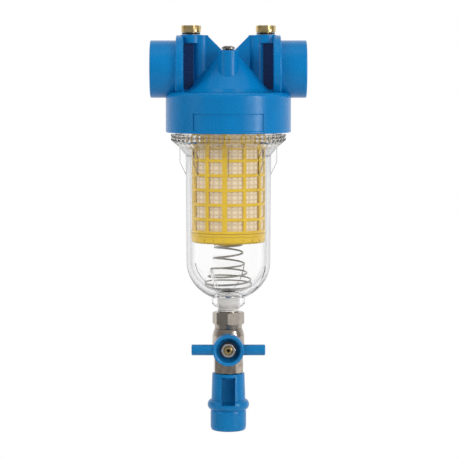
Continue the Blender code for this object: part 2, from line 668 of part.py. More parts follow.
def cartridge_cage():
    """The cage: one shell with a window between each pair of rings and bars, built cell by cell."""
    bar = BAR_WIDE / CAGE_R
    window = 2 * pi / CAGE_BARS - bar
    angles = []
    solid_column = []
    for number in range(CAGE_BARS):
        start = CAGE_TURN + 2 * pi * number / CAGE_BARS - bar / 2
        angles.append(start)
        solid_column.append(True)
        for step in range(WINDOW_STEPS):
            angles.append(start + bar + window * step / WINDOW_STEPS)
            solid_column.append(False)
    heights = []
    for number in range(CAGE_RINGS):
        heights += [CAGE_TOP - number * RING_PITCH, CAGE_TOP - number * RING_PITCH - RING_HIGH]
    heights += [CAGE_FOOT_TOP, CAGE_BOTTOM]
    columns = len(angles)
    rows = len(heights) - 1

    def is_solid(row, column):
        if row < 0 or row >= rows:
            return False
        return row % 2 == 0 or solid_column[column % columns]

    shape = bmesh.new()
    radii = (CAGE_R - CAGE_THICK, CAGE_R)
    grid = [[[shape.verts.new((r * cos(a), r * sin(a), z)) for a in angles] for z in heights] for r in radii]
    for row in range(rows):
        for column in range(columns):
            if not is_solid(row, column):
                continue
            after = (column + 1) % columns
            corners = ((row, column), (row, after), (row + 1, after), (row + 1, column))
            inner = [grid[0][j][i] for j, i in corners]
            outer = [grid[1][j][i] for j, i in corners]
            shape.faces.new(inner)
            shape.faces.new(outer)
            beside = ((row - 1, column), (row, after), (row + 1, column), (row, column - 1))
            for edge, (other_row, other_column) in enumerate(beside):
                if not is_solid(other_row, other_column):
                    nxt = (edge + 1) % 4
                    shape.faces.new((outer[edge], outer[nxt], inner[nxt], inner[edge]))
    loose = [vert for vert in shape.verts if not vert.link_faces]
    bmesh.ops.delete(shape, geom=loose, context="VERTS")
    return finish("cartridge_cage", shape, YELLOW)


def filter_net():
    """The sleeve of net just inside the cage."""
    outer = CAGE_R - CAGE_THICK - GAP
    return ring_seal("filter_net", NET_IN, outer, CAGE_BOTTOM, CAGE_TOP, NET_CLOTH, MEDIUM)


def bottom_cap():
    """The cup that closes the cartridge, with a bevelled rim and the seat and nub for the spring."""
    plug_r = NET_IN - GAP
    lip = CAGE_BOTTOM - GAP
    outer = CAGE_R + CAP_BEAD
    seat = CAP_BOTTOM - SPRING_SEAT_DROP
    nub = SPRING_TOP_R - WIRE_R - GAP
    outline = [(0.0, seat - NUB_HIGH), (nub - NUB_EDGE, seat - NUB_HIGH), (nub, seat - NUB_EDGE)]
    outline += [(nub, seat), (SPRING_TOP_R + 2 * WIRE_R, seat), (SPRING_TOP_R + 2 * WIRE_R, CAP_BOTTOM)]
    outline += [(CAGE_R - CAGE_THICK, CAP_BOTTOM), (CAGE_R - CAGE_THICK / 2, CAP_BOTTOM)]
    outline += [(outer, CAP_BOTTOM + CAP_EDGE), (outer, lip)]
    outline += [(plug_r, lip), (plug_r, CAGE_FOOT_TOP), (plug_r - CAP_PLATE, CAGE_FOOT_TOP)]
    outline += [(plug_r - CAP_PLATE, CAP_BOTTOM + CAP_PLATE), (0.0, CAP_BOTTOM + CAP_PLATE)]
    return finish("cartridge_bottom_cap", turned(outline, FINE), YELLOW)


def top_cap():
    """The ring on top of the cartridge, with the counterbore for the spigot's seal."""
    top = CARTRIDGE_TOP
    plug_r = NET_IN - GAP
    pocket = SPIGOT_R + GAP + CARTRIDGE_SEAL_WALL + GAP
    floor = top - CARTRIDGE_SEAL_HIGH - GAP
    low = CAGE_TOP + GAP
    foot = CAGE_TOP - TOP_CAP_PLUG
    outline = [(SPIGOT_R + 3 * GAP, foot), (plug_r, foot), (plug_r, low)]
    outline += [(CAGE_R, low), (CAGE_R, top - 2 * SINK), (CAGE_R - SINK, top - SINK)]
    outline += [(pocket + 2 * SINK, top), (pocket, top), (pocket, floor), (SPIGOT_R + 3 * GAP, floor)]
    return finish("cartridge_top_cap", turned(outline, MEDIUM), YELLOW)


def cartridge_seal():
    """The ring that seals the cartridge on the head's spigot."""
    top = CARTRIDGE_TOP
    inner = SPIGOT_R + GAP
    return ring_seal("cartridge_seal", inner, inner + CARTRIDGE_SEAL_WALL, top - CARTRIDGE_SEAL_HIGH,
                     top, RUBBER, MEDIUM)


def running_total(shares, turns):
    """How far a list of shares, one for each turn, has added up after some turns, smoothed."""
    whole = int(turns)
    done = sum(shares[:whole])
    if whole >= len(shares):
        return done
    part = turns - whole
    before = shares[max(whole - 1, 0)]
    here = shares[whole]
    after = shares[min(whole + 1, len(shares) - 1)]
    start = (before + here) / 2 if before and here else 0.0
    end = (here + after) / 2 if here and after else 0.0
    cubic = part * part * (3 - 2 * part)
    hermite = start * (part - 2 * part ** 2 + part ** 3) + end * (part ** 3 - part ** 2)
    return done + here * cubic + hermite


def spring():
    """Conical spring: a right hand helix, wider and closer towards the bottom, with flat end coils."""
    fall = SPRING_TOP_Z - SPRING_LOW_Z
    spread = SPRING_BOTTOM_R - SPRING_TOP_R
    count = round((SPRING_END - SPRING_START) * POINTS_PER_COIL)
    route = []
    for step in range(count + 1):
        turns = SPRING_START + (SPRING_END - SPRING_START) * step / count
        radius = SPRING_TOP_R + spread * running_total(COIL_SPREAD, turns)
        height = SPRING_TOP_Z - fall * running_total(COIL_DROPS, turns)
        angle = -2 * pi * turns
        route.append(Vector((radius * cos(angle), radius * sin(angle), height)))
    return finish("cartridge_spring", tube(route, WIRE_R, WIRE_SIDES), STEEL)


def tube(route, radius, sides):
    """A wire of round section along a route, with flat ends."""
    shape = bmesh.new()
    rings = []
    for index, point in enumerate(route):
        ahead = route[min(index + 1, len(route) - 1)]
        behind = route[max(index - 1, 0)]
        run = (ahead - behind).normalized()
        out = Vector((point.x, point.y, 0.0)).normalized()
        up = run.cross(out).normalized()
        out = up.cross(run)
        ring = []
        for step in range(sides):
            angle = 2 * pi * step / sides
            ring.append(shape.verts.new(point + out * (radius * cos(angle)) + up * (radius * sin(angle))))
        rings.append(ring)
    for first, second in zip(rings, rings[1:]):
        for step in range(sides):
            after = (step + 1) % sides
            shape.faces.new((first[step], first[after], second[after], second[step]))
    shape.faces.new(rings[0])
    shape.faces.new(rings[-1])
    return shape


def octagon(name, radius, low, high, chamfer, turn):
    """An octagon whose corners are turned off at both ends: a chamfered round blank cut to a prism."""
    flat = radius * cos(pi / 8) - GAP
    outline = [(0.0, low), (flat, low), (radius + GAP, low + chamfer)]
    outline += [(radius + GAP, high - chamfer), (flat, high), (0.0, high)]
    piece = finish(name, turned(outline, 2 * SMALL), NICKEL)
    prism = [(0.0, low - SINK), (radius, low - SINK), (radius, high + SINK), (0.0, high + SINK)]
    combine(piece, turned(prism, 8, turn), "INTERSECT")
    return piece


def valve_end_piece():
    """The nickel plated end: male thread into the bowl, octagon, and a thread into the valve body."""
    neck_r = CAVITY_R - GAP
    low = VALVE_Z + SEAT_FAR + GAP
    piece = octagon("valve_end_piece", UPPER_OCT_R, UPPER_OCT_BOTTOM, UPPER_OCT_TOP, OCT_CHAMFER,
                    UPPER_OCT_TURN)
    thread = [(0.0, UPPER_OCT_TOP - SINK), (THREAD_R, UPPER_OCT_TOP - SINK)]
    thread += [(THREAD_R, THREAD_TOP - THREAD_LEAD), (THREAD_R - THREAD_LEAD, THREAD_TOP), (0.0, THREAD_TOP)]
    join(piece, turned(thread, MEDIUM))
    lower = [(0.0, low), (neck_r, low), (neck_r, BODY_TOP), (BODY_TOP_R, BODY_TOP)]
    lower += [(UPPER_OCT_R * cos(pi / 8) - 2 * GAP, UPPER_OCT_BOTTOM + SINK / 2)]
    lower += [(0.0, UPPER_OCT_BOTTOM + SINK / 2)]
    join(piece, turned(lower, MEDIUM))
    cut(piece, rod(NIPPLE_BORE, low - SINK, THREAD_TOP + SINK, SMALL))
    return piece


def valve_body():
    """The cast body with the ball's cavity, the stem boss and the lower octagon."""
    top = BODY_TOP - GAP
    shoulder = VALVE_Z - SEAT_FAR - GAP
    neck = LOWER_OCT_R * cos(pi / 8) - 2 * GAP
    body = octagon("valve_body", LOWER_OCT_R, BODY_BOTTOM, LOWER_OCT_TOP, OCT_CHAMFER, LOWER_OCT_TURN)
    outline = [(0.0, LOWER_OCT_TOP - SINK), (neck, LOWER_OCT_TOP - SINK), (neck, LOWER_OCT_TOP + SINK / 2)]
    outline += [(BODY_R, LOWER_OCT_TOP + BODY_LOW_TAPER), (BODY_R, top - BODY_HIGH_TAPER)]
    outline += [(BODY_TOP_R + 2 * GAP, top - BODY_LIP), (BODY_TOP_R - GAP, top), (0.0, top)]
    join(body, turned(outline, MEDIUM))
    boss = rod(STEM_BOSS_R, 0.0, -STEM_BOSS_END, SMALL + 6)
    join(body, moved(boss, ALONG_FRONT, placed(0, 0, VALVE_Z)))
    bore = [(0.0, BODY_BOTTOM - SINK), (OUTLET_THREAD_R, BODY_BOTTOM - SINK)]
    thread_end = BODY_BOTTOM + OUTLET_THREAD_DEEP
    bore += [(OUTLET_THREAD_R, thread_end), (NIPPLE_BORE, thread_end)]
    bore += [(NIPPLE_BORE, shoulder), (CAVITY_R, shoulder), (CAVITY_R, top + SINK), (0.0, top + SINK)]
    cut(body, turned(bore, MEDIUM))
    deep = stem_depths()
    hole = [(0.0, 0.0), (STEM_FLANGE_R + GAP, 0.0), (STEM_FLANGE_R + GAP, deep["flange_end"] + GAP)]
    hole += [(STEM_R + GAP, deep["flange_end"] + GAP), (STEM_R + GAP, deep["packing_start"] - GAP)]
    hole += [(STEM_R + PACKING_WALL + 2 * GAP, deep["packing_start"] - GAP)]
    hole += [(STEM_R + PACKING_WALL + 2 * GAP, -STEM_BOSS_END + SINK), (0.0, -STEM_BOSS_END + SINK)]
    cut(body, moved(turned(hole, SMALL, pi / SMALL), ALONG_FRONT, placed(0, 0, VALVE_Z)))
    return body


def stem_depths():
    """Distances from the valve axis towards the front, along the stem."""
    flange_start = BALL_R + GAP
    flange_end = flange_start + STEM_FLANGE_THICK
    gland_face = -STEM_BOSS_END + GAP
    packing_end = gland_face - GAP - GLAND_SHANK
    return {
        "flange_start": flange_start,
        "flange_end": flange_end,
        "packing_start": packing_end - GAP - PACKING_LONG,
        "packing_end": packing_end - GAP,
        "gland_start": packing_end,
        "gland_face": gland_face,
        "gland_end": gland_face + GLAND_HEAD,
        "floor": -CUP_FLOOR,
        "nut_start": -CUP_FLOOR + WASHER_THICK + 2 * GAP,
        "nut_end": -CUP_FLOOR + WASHER_THICK + 2 * GAP + NUT_THICK,
    }


def front_piece(name, shape, surface):
    """A piece modelled upright, laid to the front and set on the valve's stem axis."""
    piece = finish(name, moved(shape, ALONG_FRONT), surface)
    piece.location = (0, 0, VALVE_Z)
    return piece


def valve_inside():
    """Ball, seats, stem, packing and gland nut."""
    deep = stem_depths()
    sphere = [(0.0, -BALL_R)] + [(p[0], p[1]) for p in arc((0, 0), BALL_R, -90, 90, BALL_STEPS)[1:-1]]
    ball = finish("valve_ball", turned(sphere + [(0.0, BALL_R)], SMALL + 8), STEEL)
    ball.location = (0, 0, VALVE_Z)
    bore = moved(rod(BALL_BORE, -BALL_R - SINK, BALL_R + SINK, SMALL), along_x(1))
    cut(ball, moved(bore, placed(0, 0, VALVE_Z)))
    slot = block((-BALL_R, -BALL_R - SINK, -TANG_WIDE / 2 - GAP),
                 (BALL_R, -BALL_R + TANG_DEEP + GAP, TANG_WIDE / 2 + GAP))
    cut(ball, moved(slot, placed(0, 0, VALVE_Z)))
    for sign, word in ((1, "upper"), (-1, "lower")):
        outline = [(SEAT_BORE, SEAT_FAR), (CAVITY_R - GAP, SEAT_FAR), (CAVITY_R - GAP, SEAT_NEAR)]
        outline += [(SEAT_BORE + SEAT_CONE, SEAT_NEAR), (SEAT_BORE, SEAT_NEAR + SEAT_CONE)]
        seat = finish(f"{word}_ball_seat", turned([(r, sign * z) for r, z in outline], MEDIUM), SEAT_WHITE)
        seat.location = (0, 0, VALVE_Z)
    stem_end = deep["nut_end"] + STEM_PROUD
    outline = [(0.0, deep["flange_start"]), (STEM_FLANGE_R, deep["flange_start"])]
    outline += [(STEM_FLANGE_R, deep["flange_end"]), (STEM_R, deep["flange_end"])]
    outline += [(STEM_R, -HANDLE_BACK - GAP), (STEM_THREAD_R, -HANDLE_BACK - GAP)]
    outline += [(STEM_THREAD_R, stem_end - STEM_CHAMFER), (STEM_THREAD_R - STEM_CHAMFER, stem_end)]
    outline += [(STEM_CENTRE_R, stem_end), (0.0, stem_end - STEM_CENTRE_DEEP)]
    stem = front_piece("valve_stem", turned(outline, SMALL), BRASS)
    tang = block((-TANG_LONG / 2, -BALL_R - GAP - SINK, -TANG_WIDE / 2),
                 (TANG_LONG / 2, -BALL_R + TANG_DEEP, TANG_WIDE / 2))
    join(stem, moved(tang, placed(0, 0, VALVE_Z)))
    packing = [(STEM_R + GAP, deep["packing_start"]), (STEM_R + GAP + PACKING_WALL, deep["packing_start"])]
    packing += [(r, deep["packing_end"]) for r, _ in reversed(packing)]
    front_piece("stem_packing", turned(packing, SMALL), SEAT_WHITE)
    gland = front_piece("gland_nut", rod(STEM_R + PACKING_WALL + GAP, deep["gland_start"],
                                         deep["gland_face"] + SINK, SMALL), BRASS)
    head = turned([(0.0, deep["gland_face"]), (GLAND_HEX_R, deep["gland_face"]),
                   (GLAND_HEX_R, deep["gland_end"]), (0.0, deep["gland_end"])], 6)
    join(gland, moved(head, ALONG_FRONT, placed(0, 0, VALVE_Z)))
    hole = rod(STEM_R + GAP, deep["gland_start"] - SINK, deep["gland_end"] + SINK, SMALL)
    cut(gland, moved(hole, ALONG_FRONT, placed(0, 0, VALVE_Z)))


def valve_handle():
    """The blue two wing handle with its cup, washer and nut."""
    deep = stem_depths()
    back = -HANDLE_BACK
    front = back + HUB_LONG
    edge = HUB_EDGE
    outline = [(0.0, back), (HUB_R - edge, back), (HUB_R, back + edge), (HUB_R, front - edge)]
    outline += [(HUB_R - edge, front), (0.0, front)]
    handle = front_piece("valve_handle", turned(outline, MEDIUM), BLUE)
    middle = placed(0, -(back + front) / 2, VALVE_Z)
    wing = [(0.0, -WING_HALF), (WING_R - WING_EDGE, -WING_HALF), (WING_R, -WING_HALF + WING_EDGE)]
    wing += [(r, -z) for r, z in reversed(wing)]
    join(handle, moved(turned(wing, SMALL), along_x(1), middle))
    cup = [(0.0, deep["floor"]), (CUP_FLOOR_R, deep["floor"]), (CUP_R, front), (CUP_R, front + SINK)]
    cup += [(0.0, front + SINK)]
    to_valve = placed(0, 0, VALVE_Z)
    cut(handle, moved(turned(cup, MEDIUM), ALONG_FRONT, to_valve))
    cut(handle, moved(rod(STEM_THREAD_R + GAP, back - SINK, front, SMALL), ALONG_FRONT, to_valve))
    hole = STEM_THREAD_R + GAP
    washer = [(hole, deep["floor"] + GAP), (WASHER_R, deep["floor"] + GAP)]
    washer += [(r, deep["floor"] + GAP + WASHER_THICK) for r, _ in reversed(washer)]
    front_piece("handle_washer", turned(washer, SMALL), NICKEL)
    blank = [(0.0, deep["nut_start"]), (NUT_R, deep["nut_start"]), (NUT_R, deep["nut_end"] - NUT_CHAMFER)]
    blank += [(NUT_R * cos(pi / 6) - GAP, deep["nut_end"]), (0.0, deep["nut_end"])]
    nut = front_piece("handle_nut", turned(blank, SMALL), NICKEL)
    flats = turned([(0.0, deep["nut_start"] - SINK), (NUT_R, deep["nut_start"] - SINK),
                    (NUT_R, deep["nut_end"] + SINK), (0.0, deep["nut_end"] + SINK)], 6)
    combine(nut, moved(flats, ALONG_FRONT, to_valve), "INTERSECT")
    drilled = rod(hole, deep["nut_start"] - SINK, deep["nut_end"] + SINK, SMALL)
    cut(nut, moved(drilled, ALONG_FRONT, to_valve))


def drain_funnel():
    """The blue funnel: thread into the valve, nozzle over an air gap, front window, bead and hose end."""
    top = BODY_BOTTOM - GAP
    plate_low = top - FUNNEL_PLATE
    bead_low = BEAD_Z - BEAD_HIGH / 2
    thread_top = top + FUNNEL_THREAD_LONG
    nozzle = plate_low - NOZZLE_LONG
    outline = [(FUNNEL_BORE, thread_top), (FUNNEL_BORE, nozzle), (NOZZLE_R, nozzle), (NOZZLE_R, plate_low)]
    outline += [(FUNNEL_TOP_R - FUNNEL_WALL, plate_low), (FUNNEL_LOW_R - FUNNEL_WALL, BEAD_Z)]
    outline += [(HOSE_R - HOSE_WALL, bead_low - HOSE_STEP), (HOSE_R - HOSE_WALL, FUNNEL_BOTTOM)]
    outline += rounded_rim()
    outline += [(HOSE_R, bead_low - HOSE_STEP)]
    bead = []
    for step in range(7):
        angle = radians(-90 + 180 * step / 6)
        stands_out = (BEAD_R - FUNNEL_LOW_R) * cos(angle)
        bead.append((FUNNEL_LOW_R + stands_out, BEAD_Z + BEAD_HIGH / 2 * sin(angle)))
    outline += bead
    outline += [(FUNNEL_TOP_R, top - FUNNEL_EDGE), (FUNNEL_TOP_R - FUNNEL_EDGE, top)]
    outline += [(FUNNEL_THREAD_R, top), (FUNNEL_THREAD_R, thread_top - SINK)]
    outline += [(FUNNEL_THREAD_R - SINK, thread_top)]
    funnel = finish("drain_funnel", turned(outline, MEDIUM + 4), BLUE)
    window = block((-WINDOW_WIDE / 2, -BEAD_R - SINK, WINDOW_LOW),
                   (WINDOW_WIDE / 2, -NOZZLE_R - GAP, top - FUNNEL_RIM))
    cut(funnel, window)
    top_z = BODY_BOTTOM + OUTLET_THREAD_DEEP
    ring_seal("funnel_gasket", FUNNEL_BORE + GAP, FUNNEL_THREAD_R, top_z - GAP - GASKET_THICK,
              top_z - GAP, RUBBER, SMALL + 8)
    return funnel


def rounded_rim():
    """Outline of the hose end's lower edge, from its flat lip round to the outside."""
    flat_end = HOSE_R - HOSE_WALL + HOSE_LIP
    round_wide = HOSE_R - flat_end
    points = []
    for step in range(5):
        angle = radians(-90 + 90 * step / 4)
        points.append((flat_end + round_wide * cos(angle), FUNNEL_BOTTOM + HOSE_ROUND * (1 + sin(angle))))
    return points


filter_head()
gauge_plugs()
vent_screw()
bowl()
bowl_seal()
cartridge_cage()
filter_net()
bottom_cap()
top_cap()
cartridge_seal()
spring()
valve_end_piece()
valve_body()
valve_inside()
valve_handle()
drain_funnel()
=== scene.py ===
from math import asin, atan2, cos, degrees, pi, radians, sin, sqrt, tan

import bpy
from mathutils import Matrix, Vector


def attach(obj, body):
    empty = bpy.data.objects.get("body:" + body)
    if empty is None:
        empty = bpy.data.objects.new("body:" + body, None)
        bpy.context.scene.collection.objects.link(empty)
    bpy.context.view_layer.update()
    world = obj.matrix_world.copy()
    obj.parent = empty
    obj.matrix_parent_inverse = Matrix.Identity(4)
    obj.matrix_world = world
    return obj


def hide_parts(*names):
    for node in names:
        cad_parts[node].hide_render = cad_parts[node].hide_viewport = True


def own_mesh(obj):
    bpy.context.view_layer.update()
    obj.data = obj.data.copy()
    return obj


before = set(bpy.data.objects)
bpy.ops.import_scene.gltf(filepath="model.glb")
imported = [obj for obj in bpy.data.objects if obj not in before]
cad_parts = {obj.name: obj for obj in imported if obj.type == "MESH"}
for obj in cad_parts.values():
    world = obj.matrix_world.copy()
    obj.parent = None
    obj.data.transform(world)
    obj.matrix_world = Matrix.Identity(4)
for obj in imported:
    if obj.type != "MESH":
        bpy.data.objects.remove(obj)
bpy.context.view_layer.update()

MM = 0.001

# Studio: the filter hangs in its pipe line over a pale floor, in front of a white wall that only
# the camera, polished surfaces and clear plastic see at full strength. In reflections the room in
# front of the filter is dimmer than the wall, and the lamps leave no glare on the clear bowl.
bpy.context.scene.view_settings.view_transform = "Standard"
lens = bpy.data.cameras.new("photo_camera")
lens.lens = 162.2
lens.sensor_width = 36.0
lens.clip_start = 0.05
camera = bpy.data.objects.new("photo_camera", lens)
bpy.context.scene.collection.objects.link(camera)
camera.location = (0.0006, -1.95, 0.006)
aim = Vector((0.0006, 0.0, -0.1511))
camera.rotation_euler = (aim - camera.location).to_track_quat("-Z", "Y").to_euler()
bpy.context.scene.camera = camera


def maths(nodes, links, operation, *values):
    """A maths node fed with plain numbers or with what other nodes put out."""
    node = nodes.new("ShaderNodeMath")
    node.operation = operation
    for socket, value in zip(node.inputs, values):
        if isinstance(value, (int, float)):
            socket.default_value = value
        else:
            links.new(value, socket)
    return node.outputs[0]


def mapped(nodes, links, value, low, high, to_low=0.0, to_high=1.0):
    """Remap a value from one range to another."""
    remap = nodes.new("ShaderNodeMapRange")
    for word, limit in (("From Min", low), ("From Max", high), ("To Min", to_low), ("To Max", to_high)):
        remap.inputs[word].default_value = limit
    links.new(value, remap.inputs["Value"])
    return remap.outputs["Result"]


def coordinates(nodes, links, kind="Object"):
    """The X, Y and Z of a point in one kind of coordinates."""
    place = nodes.new("ShaderNodeTexCoord")
    split = nodes.new("ShaderNodeSeparateXYZ")
    links.new(place.outputs[kind], split.inputs[0])
    return split.outputs


def white_to_sight(nodes, links, dull):
    """Show plain white to the camera, to reflections and through clear plastic, and dull to the rest."""
    ray = nodes.new("ShaderNodeLightPath").outputs
    seen = maths(nodes, links, "MAXIMUM", ray["Is Camera Ray"], ray["Is Glossy Ray"])
    seen = maths(nodes, links, "MAXIMUM", seen, ray["Is Transmission Ray"])
    mix = nodes.new("ShaderNodeMixShader")
    links.new(seen, mix.inputs[0])
    links.new(dull, mix.inputs[1])
    return mix


sky = bpy.data.worlds.new("studio")
bpy.context.scene.world = sky
sky.use_nodes = True
sky_nodes = sky.node_tree.nodes
sky_links = sky.node_tree.links
soft_sky = sky_nodes["Background"]
soft_sky.inputs["Color"].default_value = (1.0, 1.0, 1.0, 1.0)
soft_sky.inputs["Strength"].default_value = 0.10
white_sky = sky_nodes.new("ShaderNodeBackground")
white_sky.inputs["Color"].default_value = (1.0, 1.0, 1.0, 1.0)


def dim_in_front(nodes, links, kind, low, high, strength):
    """Let reflections see the white behind the filter, and a dimmer room in front of it."""
    wall = mapped(nodes, links, coordinates(nodes, links, kind)["Y"], low, high, to_low=0.30)
    path = nodes.new("ShaderNodeLightPath")
    light = nodes.new("ShaderNodeMix")
    light.inputs["A"].default_value = 1.0
    links.new(path.outputs["Is Reflection Ray"], light.inputs["Factor"])
    links.new(wall, light.inputs["B"])
    links.new(light.outputs["Result"], strength)


def bare_material(name):
    """A new material, with its nodes, its links and its main shader."""
    made = bpy.data.materials.new(name)
    made.use_nodes = True
    nodes = made.node_tree.nodes
    return made, nodes, made.node_tree.links, nodes["Principled BSDF"]


dim_in_front(sky_nodes, sky_links, "Generated", 0.0, 0.8, white_sky.inputs["Strength"])
sky_mix = white_to_sight(sky_nodes, sky_links, soft_sky.outputs[0])
sky_links.new(white_sky.outputs[0], sky_mix.inputs[2])
sky_links.new(sky_mix.outputs[0], sky_nodes["World Output"].inputs["Surface"])

bpy.ops.object.select_all(action="DESELECT")
bpy.ops.mesh.primitive_plane_add(size=12.0, location=(0.0, 0.0, -0.62))
floor = bpy.context.object
floor.name = "pale_floor"
floor_paint, floor_nodes, floor_links, floor_body = bare_material("pale_floor_paint")
floor_body.inputs["Base Color"].default_value = (0.86, 0.86, 0.86, 1.0)
floor_body.inputs["Roughness"].default_value = 0.9
floor_glow = floor_nodes.new("ShaderNodeEmission")
dim_in_front(floor_nodes, floor_links, "Object", -0.4, 0.4, floor_glow.inputs["Strength"])
floor_mix = white_to_sight(floor_nodes, floor_links, floor_body.outputs[0])
floor_links.new(floor_glow.outputs[0], floor_mix.inputs[2])
floor_links.new(floor_mix.outputs[0], floor_nodes["Material Output"].inputs["Surface"])
floor.data.materials.append(floor_paint)
no_glare = bpy.data.collections.new("clear_pieces_without_glare")


def soft_lamp(name, place, aim_at, wide, high, watts, mirrored=False):
    """One rectangular soft box that faces a point of the filter, mirrored in its shiny pieces or not."""
    lamp = bpy.data.lights.new(name, "AREA")
    lamp.shape = "RECTANGLE"
    lamp.size = wide
    lamp.size_y = high
    lamp.energy = watts
    lamp.use_shadow = not mirrored
    holder = bpy.data.objects.new(name, lamp)
    bpy.context.scene.collection.objects.link(holder)
    holder.location = place
    holder.rotation_euler = (Vector(aim_at) - Vector(place)).to_track_quat("-Z", "Y").to_euler()
    holder.visible_glossy = mirrored
    holder.light_linking.receiver_collection = no_glare


soft_lamp("right_strip", (1.29, -0.87, 0.25), (0.0, 0.0, -0.08), 0.26, 1.4, 9.5, mirrored=True)
soft_lamp("right_box", (0.98, -1.17, 0.1), (0.0, 0.0, -0.15), 0.5, 1.2, 1.5, mirrored=True)
soft_lamp("right_fill", (1.15, -1.0, 0.3), (0.0, 0.0, -0.15), 0.8, 1.0, 12.0)
soft_lamp("left_fill", (-1.32, -0.64, 0.4), (0.0, 0.0, -0.1), 0.8, 1.1, 15.0)
soft_lamp("top_box", (0.1, -0.2, 1.3), (0.0, 0.0, 0.0), 0.9, 0.7, 7.5)
soft_lamp("back_fill", (0.5, 1.4, 0.5), (0.0, 0.0, -0.1), 1.0, 1.0, 9.0)


# Filter head: one blue polypropylene moulding. Two pipe bosses with flanges stand on a collar, and
# webs, round columns and a hollow cone tie them together. The sockets are tapped after moulding.
def softened(corners, steps=4):
    """Round the corners of an outline whose points are (radius, height, rounding)."""
    outline = []
    last = len(corners) - 1
    for index, (radius, height, soft) in enumerate(corners):
        here = Vector((radius, height))
        if not soft or index in (0, last):
            outline.append(here)
            continue
        back = Vector(corners[index - 1][:2]) - here
        ahead = Vector(corners[index + 1][:2]) - here
        half = back.angle(ahead) / 2
        reach = min(soft / tan(half), 0.49 * back.length, 0.49 * ahead.length)
        middle = here + (back.normalized() + ahead.normalized()).normalized() * (reach / cos(half))
        start = here + back.normalized() * reach - middle
        end = here + ahead.normalized() * reach - middle
        for step in range(steps + 1):
            spoke = start.lerp(end, step / steps).normalized() * start.length
            outline.append(middle + spoke)
    return [tuple(point) for point in outline]


def face_outward():
    """Turn every face of the piece that is being edited outward, and stop editing it."""
    bpy.ops.mesh.select_all(action="SELECT")
    bpy.ops.mesh.normals_make_consistent(inside=False)
    bpy.ops.object.mode_set(mode="OBJECT")


def lathe(name, corners, sides, ring=False, steps=4):
    """Turn an outline on the upright axis: a circle is pulled up and scaled from point to point."""
    outline = softened(corners, steps)
    bpy.ops.object.select_all(action="DESELECT")
    radius, height = outline[0]
    bpy.ops.mesh.primitive_circle_add(vertices=sides, radius=radius * MM, location=(0.0, 0.0, height * MM))
    piece = bpy.context.object
    piece.name = name
    piece.data.name = name
    bpy.ops.object.mode_set(mode="EDIT")
    bpy.ops.mesh.select_mode(type="EDGE")
    bpy.ops.mesh.select_all(action="SELECT")
    for next_radius, next_height in outline[1:]:
        rise = (next_height - height) * MM
        bpy.ops.mesh.extrude_region_move(TRANSFORM_OT_translate={"value": (0.0, 0.0, rise)})
        wider = next_radius / radius
        bpy.ops.transform.resize(value=(wider, wider, 1.0), center_override=(0.0, 0.0, 0.0))
        radius = next_radius
        height = next_height
    bpy.ops.mesh.select_all(action="DESELECT")
    bpy.ops.mesh.select_non_manifold()
    if ring:
        bpy.ops.mesh.bridge_edge_loops()
    else:
        bpy.ops.mesh.fill_holes(sides=0)
    face_outward()
    settle(piece)
    return piece


def pick(*pieces):
    """Select some pieces, of which the last is the active one."""
    bpy.ops.object.select_all(action="DESELECT")
    for piece in pieces:
        piece.select_set(True)
    bpy.context.view_layer.objects.active = pieces[-1]


def settle(piece, place=Matrix.Identity(4)):
    """Move a piece and put its place into its mesh."""
    piece.matrix_world = place @ piece.matrix_world
    pick(piece)
    bpy.ops.object.transform_apply(location=True, rotation=True, scale=True)


def at(x, y, z):
    """A place in millimetres."""
    return Matrix.Translation((x * MM, y * MM, z * MM))


def to_side(side):
    """Turn an upright piece to lie along the pipe axis."""
    return Matrix.Rotation(side * pi / 2, 4, "Y")


to_front = Matrix.Rotation(pi / 2, 4, "X")


def weld(piece, tool, operation="UNION"):
    """Weld a second shape to a piece, or cut it away, and throw the second shape out."""
    pick(piece)
    bpy.ops.object.modifier_add(type="BOOLEAN")
    step = piece.modifiers[-1]
    step.operation = operation
    step.solver = "EXACT"
    step.object = tool
    bpy.ops.object.modifier_apply(modifier=step.name)
    bpy.data.objects.remove(tool, do_unlink=True)


def slab(name, outline, low, high, round_edges=0.0):
    """A flat plate: an outline of (x, z) points pulled from y = low to y = high."""
    bpy.ops.object.select_all(action="DESELECT")
    bpy.ops.mesh.primitive_circle_add(vertices=len(outline), radius=MM, fill_type="NGON")
    piece = bpy.context.object
    piece.name = name
    for corner, (x, z) in zip(piece.data.vertices, outline):
        corner.co = (x * MM, low * MM, z * MM)
    bpy.ops.object.mode_set(mode="EDIT")
    bpy.ops.mesh.select_all(action="SELECT")
    bpy.ops.mesh.extrude_region_move(TRANSFORM_OT_translate={"value": (0.0, (high - low) * MM, 0.0)})
    bpy.ops.mesh.select_all(action="SELECT")
    bpy.ops.mesh.normals_make_consistent(inside=False)
    if round_edges:
        bpy.ops.mesh.bevel(offset=round_edges * MM, segments=3, affect="EDGES")
    bpy.ops.object.mode_set(mode="OBJECT")
    return piece


def smooth_to(piece, edge_angle, even=True):
    """Shade a piece smooth up to an angle, with its larger faces leading the shading."""
    pick(piece)
    bpy.ops.object.shade_smooth_by_angle(angle=radians(edge_angle))
    if even:
        bpy.ops.object.modifier_add(type="WEIGHTED_NORMAL")
        piece.modifiers[-1].keep_sharp = True
        bpy.ops.object.modifier_apply(modifier=piece.modifiers[-1].name)


collar_r = 59.1
collar_top = -21.7
collar_low = -59.4
chamber_r = 51.0
chamber_roof = -25.0
port_end = 73.6
flange_in = 42.1
flange_out = 49.2
flange_r = 31.8
head_top = 31.9
column_x = 26.3
plug_x = 35.1
plug_top = 32.3
socket_r = 21.2
vent_y = -18.8
vent_top = 17.5

